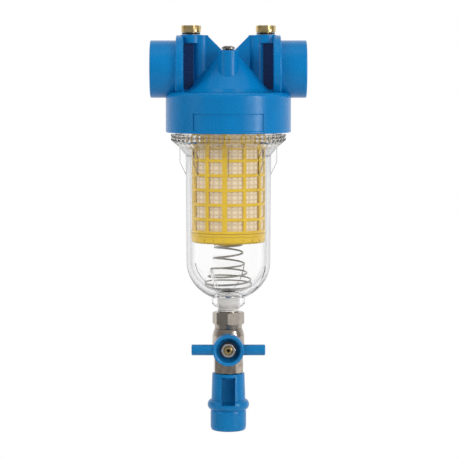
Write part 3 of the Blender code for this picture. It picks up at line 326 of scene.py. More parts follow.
head_outline = [(chamber_r - 3.0, collar_low, 0), (collar_r, collar_low, 1.0), (collar_r, collar_top, 4.5)]
head_outline += [(42.5, -20.9, 2.0), (38.3, -18.2, 1.2), (5.2, 18.4, 2.2), (2.0, 18.4, 0)]
head = lathe("moulded_head", head_outline, 144, steps=6)
label = lathe("label_tool", [(collar_r - 0.9, -56.5, 0), (collar_r + 0.9, -58.3, 0), (63.0, -58.3, 0),
                             (63.0, -39.8, 0), (collar_r + 0.9, -39.8, 0), (collar_r - 0.9, -41.6, 0)],
              144, ring=True)
wedge = slab("label_wedge", [(-32.5, -70), (32.5, -70), (32.5, -30), (-32.5, -30)], -75.0, -30.0)
weld(label, wedge, "INTERSECT")
weld(head, label, "DIFFERENCE")
for side in (-1, 1):
    port = lathe("port", [(20.0, flange_in, 0), (flange_r, flange_in, 1.1), (flange_r, flange_out, 1.1),
                          (27.0, flange_out, 0.6), (27.0, port_end, 1.3), (20.0, port_end, 0)], 128)
    settle(port, to_side(side))
    weld(head, port)
    web = slab("web", [(side * 45.6, -22.7), (side * 45.6, head_top - 0.4), (side * 19.6, head_top - 0.4),
                       (side * 6.6, head_top - 13.4), (side * 4.0, 17.4), (side * 4.0, -22.7)],
               -4.5, 4.5, 0.5)
    weld(head, web)
    column = lathe("column", [(5.0, -22.2, 0), (7.5, -22.2, 0), (7.5, head_top, 0.6),
                              (5.0, head_top, 0)], 64)
    settle(column, at(side * column_x, 0, 0))
    weld(head, column)
    boss = lathe("plug_boss", [(8.0, plug_top - 8.0, 0), (10.0, plug_top - 8.0, 0.6),
                               (10.0, plug_top, 0.5), (8.0, plug_top, 0)], 72)
    settle(boss, at(side * plug_x, 0, 0))
    weld(head, boss)
vent_boss = lathe("vent_boss", [(6.0, collar_top, 0), (9.5, collar_top, 0), (9.5, vent_top, 0.7),
                                (6.0, vent_top, 0)], 72)
settle(vent_boss, at(0, vent_y, 0))
weld(head, vent_boss)

chamber = lathe("chamber_tool", [(5.0, 2.9, 0), (31.0, chamber_roof, 0), (chamber_r, chamber_roof, 1.0),
                                 (chamber_r, -62.0, 0)], 144)
weld(head, chamber, "DIFFERENCE")
duct = slab("duct", [(-15.5, -35.5), (52.6, -35.5), (52.6, -22.5), (-15.5, -22.5)], -15.5, 15.5, 0.6)
weld(head, duct)
spigot = lathe("spigot", [(9.0, -46.0, 0), (13.5, -46.0, 0.8), (13.5, -34.5, 0), (9.0, -34.5, 0)], 72)
weld(head, spigot)
weld(head, slab("duct_tool", [(-13, -33), (51.5, -33), (51.5, -25.2), (-13, -25.2)], -13.0, 13.0, 0.8),
     "DIFFERENCE")
weld(head, lathe("spigot_tool", [(10.5, -47.0, 0), (10.5, -26.0, 0)], 72), "DIFFERENCE")
for side in (-1, 1):
    socket = lathe("socket_tool", [(15.5, 44.6, 0), (15.5, 49.6, 0), (socket_r, 49.6, 0),
                                   (socket_r, 72.4, 0), (22.6, 73.8, 0)], 128)
    settle(socket, to_side(side))
    weld(head, socket, "DIFFERENCE")
    low_x, high_x = sorted((side * 44.5, side * 51.9))
    weld(head, slab("slot_tool", [(low_x, -26.2), (high_x, -26.2), (high_x, -8), (low_x, -8)],
                    -10.5, 10.5), "DIFFERENCE")
    gauge = lathe("gauge_tool", [(1.6, -26.4, 0), (1.6, 25.5, 0), (6.0, 25.5, 0), (6.0, 33.0, 0)], 48)
    settle(gauge, at(side * plug_x, 0, 0))
    weld(head, gauge, "DIFFERENCE")
vent_hole = lathe("vent_tool", [(1.6, -19.0, 0), (1.6, 7.5, 0), (3.1, 7.5, 0), (3.1, 18.5, 0)], 48)
settle(vent_hole, at(0, vent_y, 0))
weld(head, vent_hole, "DIFFERENCE")


def screw_thread(name, valley_r, crest_r, pitch, low, high, around=48, point_in=False):
    """A helical V ridge on the upright axis, tapered to nothing at both ends."""
    bpy.ops.object.select_all(action="DESELECT")
    bpy.ops.mesh.primitive_plane_add(size=0.01)
    ridge = bpy.context.object
    ridge.name = name
    turns = (high - low) / pitch - 1.0
    steps = int(turns * around)
    out = -1.0 if point_in else 1.0
    tall = abs(crest_r - valley_r)
    rows = []
    for step in range(steps + 1):
        angle = 2 * pi * step / around
        height = low + pitch / 2 + pitch * step / around
        fade = min(1.0, step / (0.6 * around), (steps - step) / (0.6 * around))
        crest = valley_r + out * tall * max(fade, 0.02)
        root = valley_r - out * 0.15
        ring = [(root, height - 0.46 * pitch), (crest, height - 0.06 * pitch),
                (crest, height + 0.06 * pitch), (root, height + 0.46 * pitch)]
        rows.append([(r * cos(angle) * MM, r * sin(angle) * MM, z * MM) for r, z in ring])
    points = [point for row in rows for point in row]
    faces = [(4 * i + j, 4 * i + (j + 1) % 4, 4 * i + 4 + (j + 1) % 4, 4 * i + 4 + j)
             for i in range(steps) for j in range(4)]
    faces += [(0, 1, 2, 3), tuple(4 * steps + j for j in range(4))]
    ridge.data.clear_geometry()
    ridge.data.from_pydata(points, [], faces)
    bpy.ops.object.mode_set(mode="EDIT")
    face_outward()
    return ridge


def add_loose(piece, extra):
    """Join a finished shape to a piece without a Boolean."""
    pick(extra, piece)
    bpy.ops.object.join()


smooth_to(head, 33)
for side in (-1, 1):
    thread = screw_thread("socket_thread", socket_r, 20.0, 2.31, 50.2, 72.6, point_in=True)
    settle(thread, to_side(side))
    smooth_to(thread, 30, even=False)
    add_loose(head, thread)


def new_group(name, colours, numbers):
    """An empty shader group: named colours and numbers go in, and colour, roughness and height come out."""
    group = bpy.data.node_groups.new(name, "ShaderNodeTree")
    for flow, kind, words in (("INPUT", "Color", colours), ("INPUT", "Float", numbers),
                              ("OUTPUT", "Color", ["Colour"]), ("OUTPUT", "Float", ["Roughness", "Height"])):
        for word in words:
            group.interface.new_socket(word, in_out=flow, socket_type="NodeSocket" + kind)
    return group, group.nodes.new("NodeGroupInput"), group.nodes.new("NodeGroupOutput")


def noise(nodes, links, size, detail):
    """Noise on object coordinates, with features of a given size in millimetres."""
    place = nodes.new("ShaderNodeTexCoord")
    grain = nodes.new("ShaderNodeTexNoise")
    grain.inputs["Scale"].default_value = 1000.0 / size
    grain.inputs["Detail"].default_value = detail
    links.new(place.outputs["Object"], grain.inputs["Vector"])
    return grain.outputs["Fac"]


def tint_between(nodes, links, factor, first, second):
    """A mix of two colours, each a plain colour or what another node puts out."""
    mix = nodes.new("ShaderNodeMix")
    mix.data_type = "RGBA"
    links.new(factor, mix.inputs["Factor"])
    for word, colour in (("A", first), ("B", second)):
        if isinstance(colour, tuple):
            mix.inputs[word].default_value = (*colour, 1.0)
        else:
            links.new(colour, mix.inputs[word])
    return mix.outputs["Result"]


# The skin of a moulded plastic: cloudy colour, fine specks in its gloss and a fine even orange peel.
plastic_skin, skin_in, skin_out = new_group("moulded_skin", ["Colour", "Shade"], ["Roughness"])
skin_tree = (plastic_skin.nodes, plastic_skin.links)
clouds = mapped(*skin_tree, noise(*skin_tree, 22.0, 4.0), 0.35, 0.7, 0.0, 0.55)
specks = mapped(*skin_tree, noise(*skin_tree, 1.6, 2.0), 0.3, 0.7, -0.04, 0.06)
skin_tint = tint_between(*skin_tree, clouds, skin_in.outputs["Colour"], skin_in.outputs["Shade"])
plastic_skin.links.new(skin_tint, skin_out.inputs["Colour"])
skin_rough = maths(*skin_tree, "ADD", specks, skin_in.outputs["Roughness"])
plastic_skin.links.new(skin_rough, skin_out.inputs["Roughness"])
plastic_skin.links.new(noise(*skin_tree, 0.55, 2.0), skin_out.inputs["Height"])


def bumped(nodes, links, height, strength, deep):
    """Let a height raise a material's surface, by a depth in millimetres."""
    bump = nodes.new("ShaderNodeBump")
    bump.inputs["Strength"].default_value = strength
    bump.inputs["Distance"].default_value = deep * MM
    links.new(height, bump.inputs["Height"])
    links.new(bump.outputs["Normal"], nodes["Principled BSDF"].inputs["Normal"])


def skinned(name, group, strength, deep, **values):
    """A material whose colour, roughness and relief come from a shader group, and its main shader."""
    made, nodes, links, body = bare_material(name)
    skin = nodes.new("ShaderNodeGroup")
    skin.node_tree = group
    for word, value in values.items():
        skin.inputs[word].default_value = (*value, 1.0) if isinstance(value, tuple) else value
    links.new(skin.outputs["Colour"], body.inputs["Base Color"])
    links.new(skin.outputs["Roughness"], body.inputs["Roughness"])
    bumped(nodes, links, skin.outputs["Height"], strength, deep)
    return made, body


def moulded_plastic(name, colour, shade, roughness, peel_deep=0.02, shine=0.3):
    """A plastic with the moulded skin: its colour, the shade it drifts to, and its shine."""
    made, body = skinned(name, plastic_skin, 0.15, peel_deep, Colour=colour, Shade=shade,
                         Roughness=roughness)
    body.inputs["Specular IOR Level"].default_value = shine
    return made


def dress(piece, surface):
    """Give a piece one material in place of any it has."""
    piece.data.materials.clear()
    piece.data.materials.append(surface)
    for face in piece.data.polygons:
        face.material_index = 0


head_blue = moulded_plastic("blue_polypropylene_skin", (0.001, 0.17, 0.43), (0.0005, 0.14, 0.375), 0.24)
head_nodes = head_blue.node_tree.nodes
head_tree = (head_nodes, head_blue.node_tree.links)
head_place = coordinates(*head_tree)
# Painted shade: faces inside a box round each pocket between a column and a flange are mixed to a dark navy,
# for the shade in those recesses.
pocket_x = 37.4
pocket_wide = 9.3
pocket_deep = 24.0
pocket_z = 2.6
pocket_high = 43.2
painted_pocket_shade = (0.006, 0.028, 0.10)
pocket_shade_mask = maths(*head_tree, "COMPARE", maths(*head_tree, "ABSOLUTE", head_place["X"]), pocket_x * MM,
                  pocket_wide / 2 * MM)
for along, middle, length in (("Y", 0.0, pocket_deep), ("Z", pocket_z, pocket_high)):
    band = maths(*head_tree, "COMPARE", head_place[along], middle * MM, length / 2 * MM)
    pocket_shade_mask = maths(*head_tree, "MULTIPLY", pocket_shade_mask, band)
head_paint = head_nodes["Principled BSDF"].inputs["Base Color"]
head_tint = tint_between(*head_tree, pocket_shade_mask, head_paint.links[0].from_socket, painted_pocket_shade)
head_blue.node_tree.links.new(head_tint, head_paint)
dress(head, head_blue)
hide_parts("filter_head")
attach(head, "head")


# Gauge plugs: two turned brass plugs that close the pressure gauge ports, each with a round head,
# six pliers notches in its rim, a slot across its top and a black flat seal under it.
def bevelled_box(name, low, high, edge):
    """A block between two corners in millimetres, with rounded edges."""
    return slab(name, [(low[0], low[2]), (high[0], low[2]), (high[0], high[2]), (low[0], high[2])],
                low[1], high[1], edge)


def flat_ring(name, inner, outer, low, high, inner_edge, outer_edge, sides):
    """A flat ring between two radii and two heights, with rounded edges."""
    return lathe(name, [(inner, low, inner_edge), (outer, low, outer_edge), (outer, high, outer_edge),
                        (inner, high, inner_edge)], sides, ring=True)


def turned(angle):
    """A turn on the upright axis, in degrees."""
    return Matrix.Rotation(radians(angle), 4, "Z")


metal_skin, metal_in, metal_out = new_group("worked_metal", ["Colour", "Stain"], ["Roughness", "Stained"])
metal_tree = (metal_skin.nodes, metal_skin.links)
stains = mapped(*metal_tree, noise(*metal_tree, 5.5, 5.0), 0.42, 0.72)
stains = maths(*metal_tree, "MULTIPLY", stains, metal_in.outputs["Stained"])
pits = noise(*metal_tree, 0.7, 3.0)
metal_tint = tint_between(*metal_tree, stains, metal_in.outputs["Colour"], metal_in.outputs["Stain"])
metal_skin.links.new(metal_tint, metal_out.inputs["Colour"])
metal_rough = maths(*metal_tree, "ADD", mapped(*metal_tree, pits, 0.3, 0.7, -0.05, 0.10),
                    metal_in.outputs["Roughness"])
metal_skin.links.new(metal_rough, metal_out.inputs["Roughness"])
metal_skin.links.new(pits, metal_out.inputs["Height"])


def worked_metal(name, colour, stain, roughness, stained, pit_deep=0.02):
    """A metal with small pits and soft stains over its base colour."""
    made, body = skinned(name, metal_skin, 0.4, pit_deep, Colour=colour, Stain=stain, Roughness=roughness,
                         Stained=stained)
    body.inputs["Metallic"].default_value = 1.0
    return made


plug_brass = worked_metal("turned_brass", (0.84, 0.66, 0.33), (0.42, 0.30, 0.12), 0.20, 0.6)
# This black rubber also stands as painted shade inside the stem's centre drilling.
rubber_and_drilling_shade = moulded_plastic("black_rubber_and_drilling_shade_skin", (0.012, 0.012, 0.013), (0.020, 0.020, 0.021), 0.55, 0.04)
plug_head_low = plug_top + 2.0
for side, word in ((-1, "left"), (1, "right")):
    plug = lathe(f"{word}_plug", [(4.9, 25.8, 0), (5.7, 26.6, 0), (5.7, plug_head_low, 0),
                                  (9.3, plug_head_low, 0.7), (9.3, plug_head_low + 6.8, 1.3),
                                  (5.0, plug_head_low + 6.8, 0)], 96)
    for number in range(6):
        notch = bevelled_box("notch_tool", (8.1, -1.3, plug_head_low + 2.6),
                             (10.5, 1.3, plug_head_low + 8.0), 0.3)
        settle(notch, turned(-90.0 + 22.5 + 60.0 * number))
        weld(plug, notch, "DIFFERENCE")
    slot_cut = bevelled_box("slot_tool", (-12.0, -0.9, plug_head_low + 5.2),
                            (12.0, 0.9, plug_head_low + 8.0), 0.1)
    settle(slot_cut, turned(25.0 if side < 0 else -12.0))
    weld(plug, slot_cut, "DIFFERENCE")
    settle(plug, at(side * plug_x, 0, 0))
    smooth_to(plug, 33)
    dress(plug, plug_brass)
    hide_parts(f"{word}_gauge_plug")
    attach(plug, "head")
    plug_ring = flat_ring(f"{word}_plug_ring", 6.0, 8.6, plug_top + 0.3, plug_top + 1.7, 0.2, 0.4, 72)
    settle(plug_ring, at(side * plug_x, 0, 0))
    smooth_to(plug_ring, 40, even=False)
    dress(plug_ring, rubber_and_drilling_shade)
    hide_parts(f"{word}_plug_seal")
    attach(plug_ring, "head")


# Vent screw: a small nickel plated pan head screw on the front boss, with a cross slot. It is backed
# off to let the air out of the bowl, and seals on a thin black ring.
vent_metal = worked_metal("vent_screw_nickel", (0.48, 0.44, 0.40), (0.12, 0.10, 0.08), 0.22, 0.8)
vent_seal_low = vent_top + 0.3
vent_seal_top = vent_seal_low + 0.9
vent_seat = vent_seal_top + 0.3
pan = lathe("vent_pan_screw", [(2.0, 8.6, 0), (2.8, 9.4, 0), (2.8, vent_seat, 0), (6.2, vent_seat, 0.2),
                               (6.2, vent_seat + 1.0, 0.6), (5.2, vent_seat + 2.2, 1.2),
                               (3.0, vent_seat + 2.8, 0.8), (1.0, vent_seat + 2.8, 0)], 64)
for quarter in (0, 1):
    arm = bevelled_box("cross_tool", (-3.6, -0.55, vent_seat + 1.1), (3.6, 0.55, vent_seat + 4.0), 0.1)
    settle(arm, turned(20.0 + 90.0 * quarter))
    weld(pan, arm, "DIFFERENCE")
settle(pan, at(0, vent_y, 0))
smooth_to(pan, 35)
dress(pan, vent_metal)
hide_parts("vent_screw")
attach(pan, "vent")
pan_ring = flat_ring("vent_ring_seal", 3.1, 5.4, vent_seal_low, vent_seal_top, 0.1, 0.3, 56)
settle(pan_ring, at(0, vent_y, 0))
smooth_to(pan_ring, 40, even=False)
dress(pan_ring, rubber_and_drilling_shade)
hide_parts("vent_seal")
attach(pan_ring, "vent_ring")


# Bowl: one clear injection moulding. Its flange sits under the collar, wrench fins stand round the
# flare, four ribs inside carry the spring, and the boss at the bottom is tapped for the drain valve.
def clear_plastic(name, tint, edge_painted_shade, roughness, clouding):
    """Clear moulded plastic: greyer where it is seen edge on, a painted shade, and lamps shine through it.
    """
    made, nodes, links, body = bare_material(name)
    body.inputs["Roughness"].default_value = roughness
    body.inputs["Specular IOR Level"].default_value = 0.18
    body.inputs["IOR"].default_value = 1.52
    body.inputs["Transmission Weight"].default_value = 1.0
    slant = nodes.new("ShaderNodeLayerWeight")
    edge = mapped(nodes, links, slant.outputs["Facing"], 0.42, 0.95)
    links.new(tint_between(nodes, links, edge, tint, edge_painted_shade), body.inputs["Base Color"])
    bumped(nodes, links, noise(nodes, links, 28.0, 2.0), 0.5, clouding)
    path = nodes.new("ShaderNodeLightPath")
    through = nodes.new("ShaderNodeBsdfTransparent")
    mix = nodes.new("ShaderNodeMixShader")
    links.new(path.outputs["Is Shadow Ray"], mix.inputs[0])
    links.new(body.outputs[0], mix.inputs[1])
    links.new(through.outputs[0], mix.inputs[2])
    links.new(mix.outputs[0], nodes["Material Output"].inputs["Surface"])
    return made


def paint_where(piece, surface, chosen):
    """Give a piece one more material, for the faces that a test chooses."""
    piece.data.materials.append(surface)
    for face in piece.data.polygons:
        if chosen(face):
            face.material_index = len(piece.data.materials) - 1


dome_z = -181.8


def dome(reach, high, to_radius, count):
    """Corners of the bowl's round bottom, from its rim down to a radius."""
    corners = []
    end = asin(sqrt(1.0 - (to_radius / reach) ** 2))
    for step in range(count + 1):
        corners.append((reach * cos(end * step / count), dome_z - high * sin(end * step / count), 0))
    return corners


bore_r = 10.75
bowl_corners = [(bore_r, -225.5, 0), (11.9, -225.5, 0.5), (15.7, -222.4, 1.2)]
bowl_corners += list(reversed(dome(39.9, 37.2, 15.7, 18)))
bowl_corners += [(40.4, -81.0, 3.0), (46.3, -73.5, 2.0), (51.3, -69.4, 1.0), (54.3, -66.8, 0.4)]
bowl_corners += [(54.3, -64.6, 0.2), (53.5, -64.2, 0), (53.5, -63.6, 0), (54.3, -63.2, 0.2)]
bowl_corners += [(54.3, -61.1, 0.8), (50.4, -61.1, 0.5), (50.4, -45.4, 0.2), (47.6, -45.4, 0.2)]
bowl_corners += [(47.6, -42.0, 0.2), (50.4, -42.0, 0.2), (50.4, -38.5, 0.6), (46.0, -38.5, 0.6)]
bowl_corners += [(46.0, -66.8, 2.5), (42.7, -69.9, 3.0), (36.8, -79.6, 3.0)]
bowl_corners += dome(36.3, 32.0, bore_r, 18)
bowl_glass = lathe("clear_bowl", bowl_corners, 144, ring=True)
# The flange's rim is ribbed: of every three columns of its points, two are set in.
rim_from_r = 50.7
set_in = 0.9
for point in bowl_glass.data.vertices:
    reach = sqrt(point.co.x ** 2 + point.co.y ** 2)
    step = round(degrees(atan2(point.co.y, point.co.x)) / 2.5)
    if reach > rim_from_r * MM and step % 3:
        point.co.x *= 1.0 - set_in * MM / reach
        point.co.y *= 1.0 - set_in * MM / reach
fin_low = -100.2
for number in range(8):
    fin = slab("fin", [(38.4, fin_low), (40.0, fin_low), (46.1, -87.7), (46.1, -72.1), (44.5, -70.6),
                       (38.4, -80.6)], -0.8, 0.8, 0.6)
    settle(fin, Matrix.Rotation(pi / 4 * number, 4, "Z"))
    weld(bowl_glass, fin)
for number in range(4):
    rib = slab("rib", [(37.5, -184.2), (35.1, -185.8), (24.95, -200.8), (24.95, -206.3), (20.3, -206.3),
                       (13.35, -211.0), (13.35, -214.2), (26.1, -206.6), (32.7, -199.0)], -1.1, 1.1, 0.3)
    settle(rib, turned(-115.0 + 90.0 * number))
    weld(bowl_glass, rib)
flare_top = -68.9
smooth_to(bowl_glass, 32)
dress(bowl_glass, clear_plastic("clear_bowl_skin", (1.0, 1.0, 1.0), (0.16, 0.16, 0.19), 0.02, 0.05))
# Painted shade: the flange band is tinted warm grey, browner where it is seen edge on.
flange_painted_shade = clear_plastic("clear_flange_painted_shade", (1.0, 0.97, 0.92), (0.90, 0.85, 0.77), 0.05, 0.05)
paint_where(bowl_glass, flange_painted_shade, lambda face: flare_top * MM < face.center.z < -60.0 * MM)


def on_fin_edge(face):
    """Whether a face is on a fin's rim, and not on one of its two flat sides."""
    middle = face.center
    turn = pi / 4 * round(atan2(middle.y, middle.x) / (pi / 4))
    flat_side = abs(face.normal.y * cos(turn) - face.normal.x * sin(turn)) > 0.97
    on_fin = (fin_low - 0.1) * MM < middle.z < -77.0 * MM and middle.xy.length > 40.7 * MM
    return on_fin and not flat_side


# Painted shade: the fins' rims are a dark grey, darker still where seen edge on.
fin_rim_painted_shade = clear_plastic("clear_fin_rim_painted_shade", (0.42, 0.42, 0.45), (0.10, 0.10, 0.12), 0.05, 0.0)
paint_where(bowl_glass, fin_rim_painted_shade, on_fin_edge)
# Painted shade: the flare below the flange is tinted grey, darker where seen edge on.
flare_painted_shade = clear_plastic("clear_flare_painted_shade", (0.90, 0.87, 0.82), (0.46, 0.43, 0.39), 0.05, 0.05)
paint_where(bowl_glass, flare_painted_shade, lambda face: -76.9 * MM < face.center.z <= flare_top * MM)
no_glare.objects.link(bowl_glass)
no_glare.collection_objects[0].light_linking.link_state = "EXCLUDE"
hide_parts("bowl")
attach(bowl_glass, "bowl_group")
neck_ring = lathe("neck_o_ring", [(49.2 + 1.45 * cos(radians(a)), -43.75 + 1.45 * sin(radians(a)), 0)
                                  for a in range(0, 360, 30)], 128, ring=True)
smooth_to(neck_ring, 60, even=False)
dress(neck_ring, rubber_and_drilling_shade)
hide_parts("bowl_seal")
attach(neck_ring, "bowl_ring")


# Cartridge: a yellow moulded cage of bars and rings round a sleeve of fine net, closed by a cup at
# the bottom and a ring at the top that slides on the outlet spigot over a rubber ring.
def break_edges(piece, width, sharp_from):
    """Round the edges of a piece that turn by more than an angle."""
    pick(piece)
    bpy.ops.object.modifier_add(type="BEVEL")
    rounding = piece.modifiers[-1]
    rounding.width = width * MM
    rounding.segments = 2
    rounding.limit_method = "ANGLE"
    rounding.angle_limit = radians(sharp_from)
    bpy.ops.object.modifier_apply(modifier=rounding.name)


cage_yellow = moulded_plastic("yellow_cage_skin", (0.67, 0.445, 0.001), (0.58, 0.355, 0.001), 0.34, 0.03,
                              shine=0.12)
cage_r = 34.9
cage_wall = 2.2
cage_top = -42.1
foot_top = -150.8
cage_low = -153.4
ring_pitch = 13.8
ring_high = 2.8
columns = 144
bar_start = -97.0
bar_wide = 5.0
bar_pitch = 30.0
heights = []
for number in range(8):
    heights += [cage_top - ring_pitch * number, cage_top - ring_pitch * number - ring_high]
heights += [foot_top, cage_low]
bpy.ops.object.select_all(action="DESELECT")
bpy.ops.mesh.primitive_circle_add(vertices=columns, radius=cage_r * MM, location=(0.0, 0.0, heights[0] * MM))
cage = bpy.context.object
cage.name = "yellow_cage"
bpy.ops.object.mode_set(mode="EDIT")
bpy.ops.mesh.select_all(action="SELECT")
for above, below in zip(heights, heights[1:]):
    bpy.ops.mesh.extrude_region_move(TRANSFORM_OT_translate={"value": (0.0, 0.0, (below - above) * MM)})
bpy.ops.mesh.select_all(action="DESELECT")
bpy.ops.mesh.select_mode(type="FACE")
bpy.ops.object.mode_set(mode="OBJECT")
settle(cage)
settle(cage, turned(bar_start))
# A window is left open wherever a face is on no ring and no bar. The front bar is wider than the rest.
for face in cage.data.polygons:
    middle = face.center
    row = sum(1 for height in heights if middle.z < height * MM)
    turn = degrees(atan2(middle.y, middle.x))
    on_wide_bar = bar_start - bar_wide / 2 < turn < bar_start + bar_wide
    on_bar = (turn - bar_start) % bar_pitch < bar_wide or on_wide_bar
    face.select = row % 2 == 0 and not on_bar
bpy.ops.object.mode_set(mode="EDIT")
bpy.ops.mesh.delete(type="FACE")
face_outward()
bpy.ops.object.modifier_add(type="SOLIDIFY")
cage.modifiers[-1].thickness = cage_wall * MM
cage.modifiers[-1].offset = -1.0
bpy.ops.object.modifier_apply(modifier=cage.modifiers[-1].name)
break_edges(cage, 0.35, 50)
smooth_to(cage, 40)
dress(cage, cage_yellow)
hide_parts("cartridge_cage")
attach(cage, "cartridge")

net = flat_ring("net_sleeve", 31.6, 32.4, cage_low, cage_top, 0, 0.2, 144)
smooth_to(net, 40, even=False)
net_weave, *net_tree, net_body = bare_material("fine_net_weave")
net_place = coordinates(*net_tree)
net_turn = maths(*net_tree, "ARCTAN2", net_place["Y"], net_place["X"])


def net_wave(source, pitch_count, phase=0.0):
    """A soft wave from 0 to 1 along one direction of the net."""
    grown = maths(*net_tree, "MULTIPLY_ADD", source, pitch_count, phase)
    return maths(*net_tree, "MULTIPLY_ADD", maths(*net_tree, "SINE", grown), 0.5, 0.5)


core_pitch = 0.0046
fine_weave = maths(*net_tree, "MAXIMUM", net_wave(net_turn, 240.0), net_wave(net_place["Z"], 7400.0))
core_bars = maths(*net_tree, "POWER", net_wave(net_turn, 36.0, -1.885), 2.6)
core_rings = maths(*net_tree, "POWER", net_wave(net_place["Z"], 2 * pi / core_pitch, -1.844), 2.6)
core_shade = maths(*net_tree, "MULTIPLY", maths(*net_tree, "MAXIMUM", core_bars, core_rings), 0.8)
net_tint = tint_between(*net_tree, core_shade, (0.76, 0.64, 0.46), (0.44, 0.30, 0.11))
fine_share = maths(*net_tree, "MULTIPLY", fine_weave, 0.3)
net_tint = tint_between(*net_tree, fine_share, net_tint, (0.82, 0.72, 0.56))
net_body.inputs["Roughness"].default_value = 0.75
net_tree[1].new(net_tint, net_body.inputs["Base Color"])
bumped(*net_tree, fine_weave, 0.6, 0.15)
dress(net, net_weave)
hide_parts("filter_net")
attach(net, "cartridge")

cap_low = -163.0
cap_lip = cage_low - 0.3
cup = lathe("cartridge_cup", [(3.0, -166.25, 0), (11.75, -166.25, 0.5), (11.75, -164.75, 0.2),
                              (14.6, -164.75, 0.3), (14.6, cap_low, 0.3), (33.4, cap_low, 0.6),
                              (35.0, -161.5, 0.8), (35.0, -156.4, 0.3), (35.6, -155.9, 0.4),
                              (35.6, cap_lip, 0.5), (31.3, cap_lip, 0.2), (31.3, -143.5, 0.3),
                              (29.3, -143.5, 0.3), (29.3, -161.0, 1.0), (3.0, -161.0, 0)], 144)
notch_count = 24
notch_low = -163.4
notch_high = -158.4
for number in range(notch_count):
    tooth = slab("tooth_tool", [(34.4, notch_low), (36.5, notch_low), (36.5, notch_high),
                                (34.4, notch_high)], -1.5, 1.5)
    for corner in tooth.data.vertices:
        if corner.co.z > (notch_low + notch_high) / 2 * MM:
            corner.co.y *= 0.15
    settle(tooth, Matrix.Rotation(2 * pi * (number + 0.5) / notch_count, 4, "Z"))
    weld(cup, tooth, "DIFFERENCE")
smooth_to(cup, 35)
dress(cup, cage_yellow)
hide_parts("cartridge_bottom_cap")
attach(cup, "cartridge")
lid = lathe("cartridge_lid", [(14.4, -44.1, 0.2), (31.3, -44.1, 0.3), (31.3, -41.8, 0.2),
                              (cage_r, -41.8, 0.4), (cage_r, -35.8, 1.2), (16.7, -35.8, 0.4),
                              (16.7, -40.1, 0.2), (14.4, -40.1, 0.2)], 120, ring=True)
smooth_to(lid, 35)
dress(lid, cage_yellow)
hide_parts("cartridge_top_cap")
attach(lid, "cartridge")
lid_ring = flat_ring("spigot_ring", 13.8, 16.4, -39.8, -35.8, 0.4, 0.4, 96)
smooth_to(lid_ring, 40, even=False)
dress(lid_ring, rubber_and_drilling_shade)
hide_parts("cartridge_seal")
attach(lid_ring, "cartridge")


# Cartridge spring: one length of drawn steel wire, wound as a right hand cone with flat end coils. It
# stands on the bowl's ribs and presses the cartridge up against the head.
coil_top = -165.9
coil_fall = 39.25
coil_top_r = 12.9
coil_widening = 10.0
first_turn = 0.5
last_turn = 6.47
steps_a_turn = 48
coil_drops = (0.0, 0.19, 0.27, 0.235, 0.18, 0.125, 0.0)
coil_spread = (0.0, 0.06, 0.15, 0.23, 0.40, 0.16, 0.0)


def so_far(shares, turns):
    """How far the shares, one for each turn, have added up after some turns, smoothed."""
    whole = int(turns)
    done = sum(shares[:whole])
    if whole >= len(shares):
        return done
    part = turns - whole
    before = shares[max(whole - 1, 0)]
    here = shares[whole]
    after = shares[min(whole + 1, len(shares) - 1)]
    start = (before + here) / 2 if before and here else 0.0
    end = (here + after) / 2 if here and after else 0.0
    swell = start * (part - 2 * part ** 2 + part ** 3) + end * (part ** 3 - part ** 2)
    return done + here * part * part * (3 - 2 * part) + swell


wire = bpy.data.curves.new("coil_wire", "CURVE")
wire.dimensions = "3D"
wire.bevel_depth = 0.85 * MM
wire.bevel_resolution = 3
wire.use_fill_caps = True
coil_count = round((last_turn - first_turn) * steps_a_turn)
run = wire.splines.new("POLY")
run.points.add(coil_count)
for index, point in enumerate(run.points):
    turns = first_turn + (last_turn - first_turn) * index / coil_count
    radius = coil_top_r + coil_widening * so_far(coil_spread, turns)
    height = coil_top - coil_fall * so_far(coil_drops, turns)
    point.co = (radius * cos(-2 * pi * turns) * MM, radius * sin(-2 * pi * turns) * MM, height * MM, 1.0)
coil = bpy.data.objects.new("coil_wire", wire)
bpy.context.scene.collection.objects.link(coil)
pick(coil)
bpy.ops.object.convert(target="MESH")
coil = bpy.context.object
smooth_to(coil, 50, even=False)
dress(coil, worked_metal("drawn_spring_wire", (0.34, 0.33, 0.31), (0.16, 0.15, 0.14), 0.28, 0.6))
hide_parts("cartridge_spring")
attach(coil, "bowl_group")
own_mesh(coil)


# Valve end piece: a turned and nickel plated brass end with a G 1/2 male thread into the bowl and an
# octagon for the spanner. Its lower neck screws into the valve body and holds the upper seat.
def octagon(name, corner_r, low, high, turn):
    """An eight sided nut: a chamfered round blank cut to a prism, with its edges broken."""
    flat = corner_r * cos(pi / 8)
    blank = lathe(name, [(5.0, low, 0), (flat - 0.3, low, 0), (corner_r + 0.4, low + 1.1, 0),
                         (corner_r + 0.4, high - 1.1, 0), (flat - 0.3, high, 0), (5.0, high, 0)], 96)
    prism = lathe("prism_tool", [(corner_r, low - 1.0, 0), (corner_r, high + 1.0, 0)], 8)
    settle(prism, turned(turn))
    weld(blank, prism, "INTERSECT")
    break_edges(blank, 0.22, 28)
    return blank


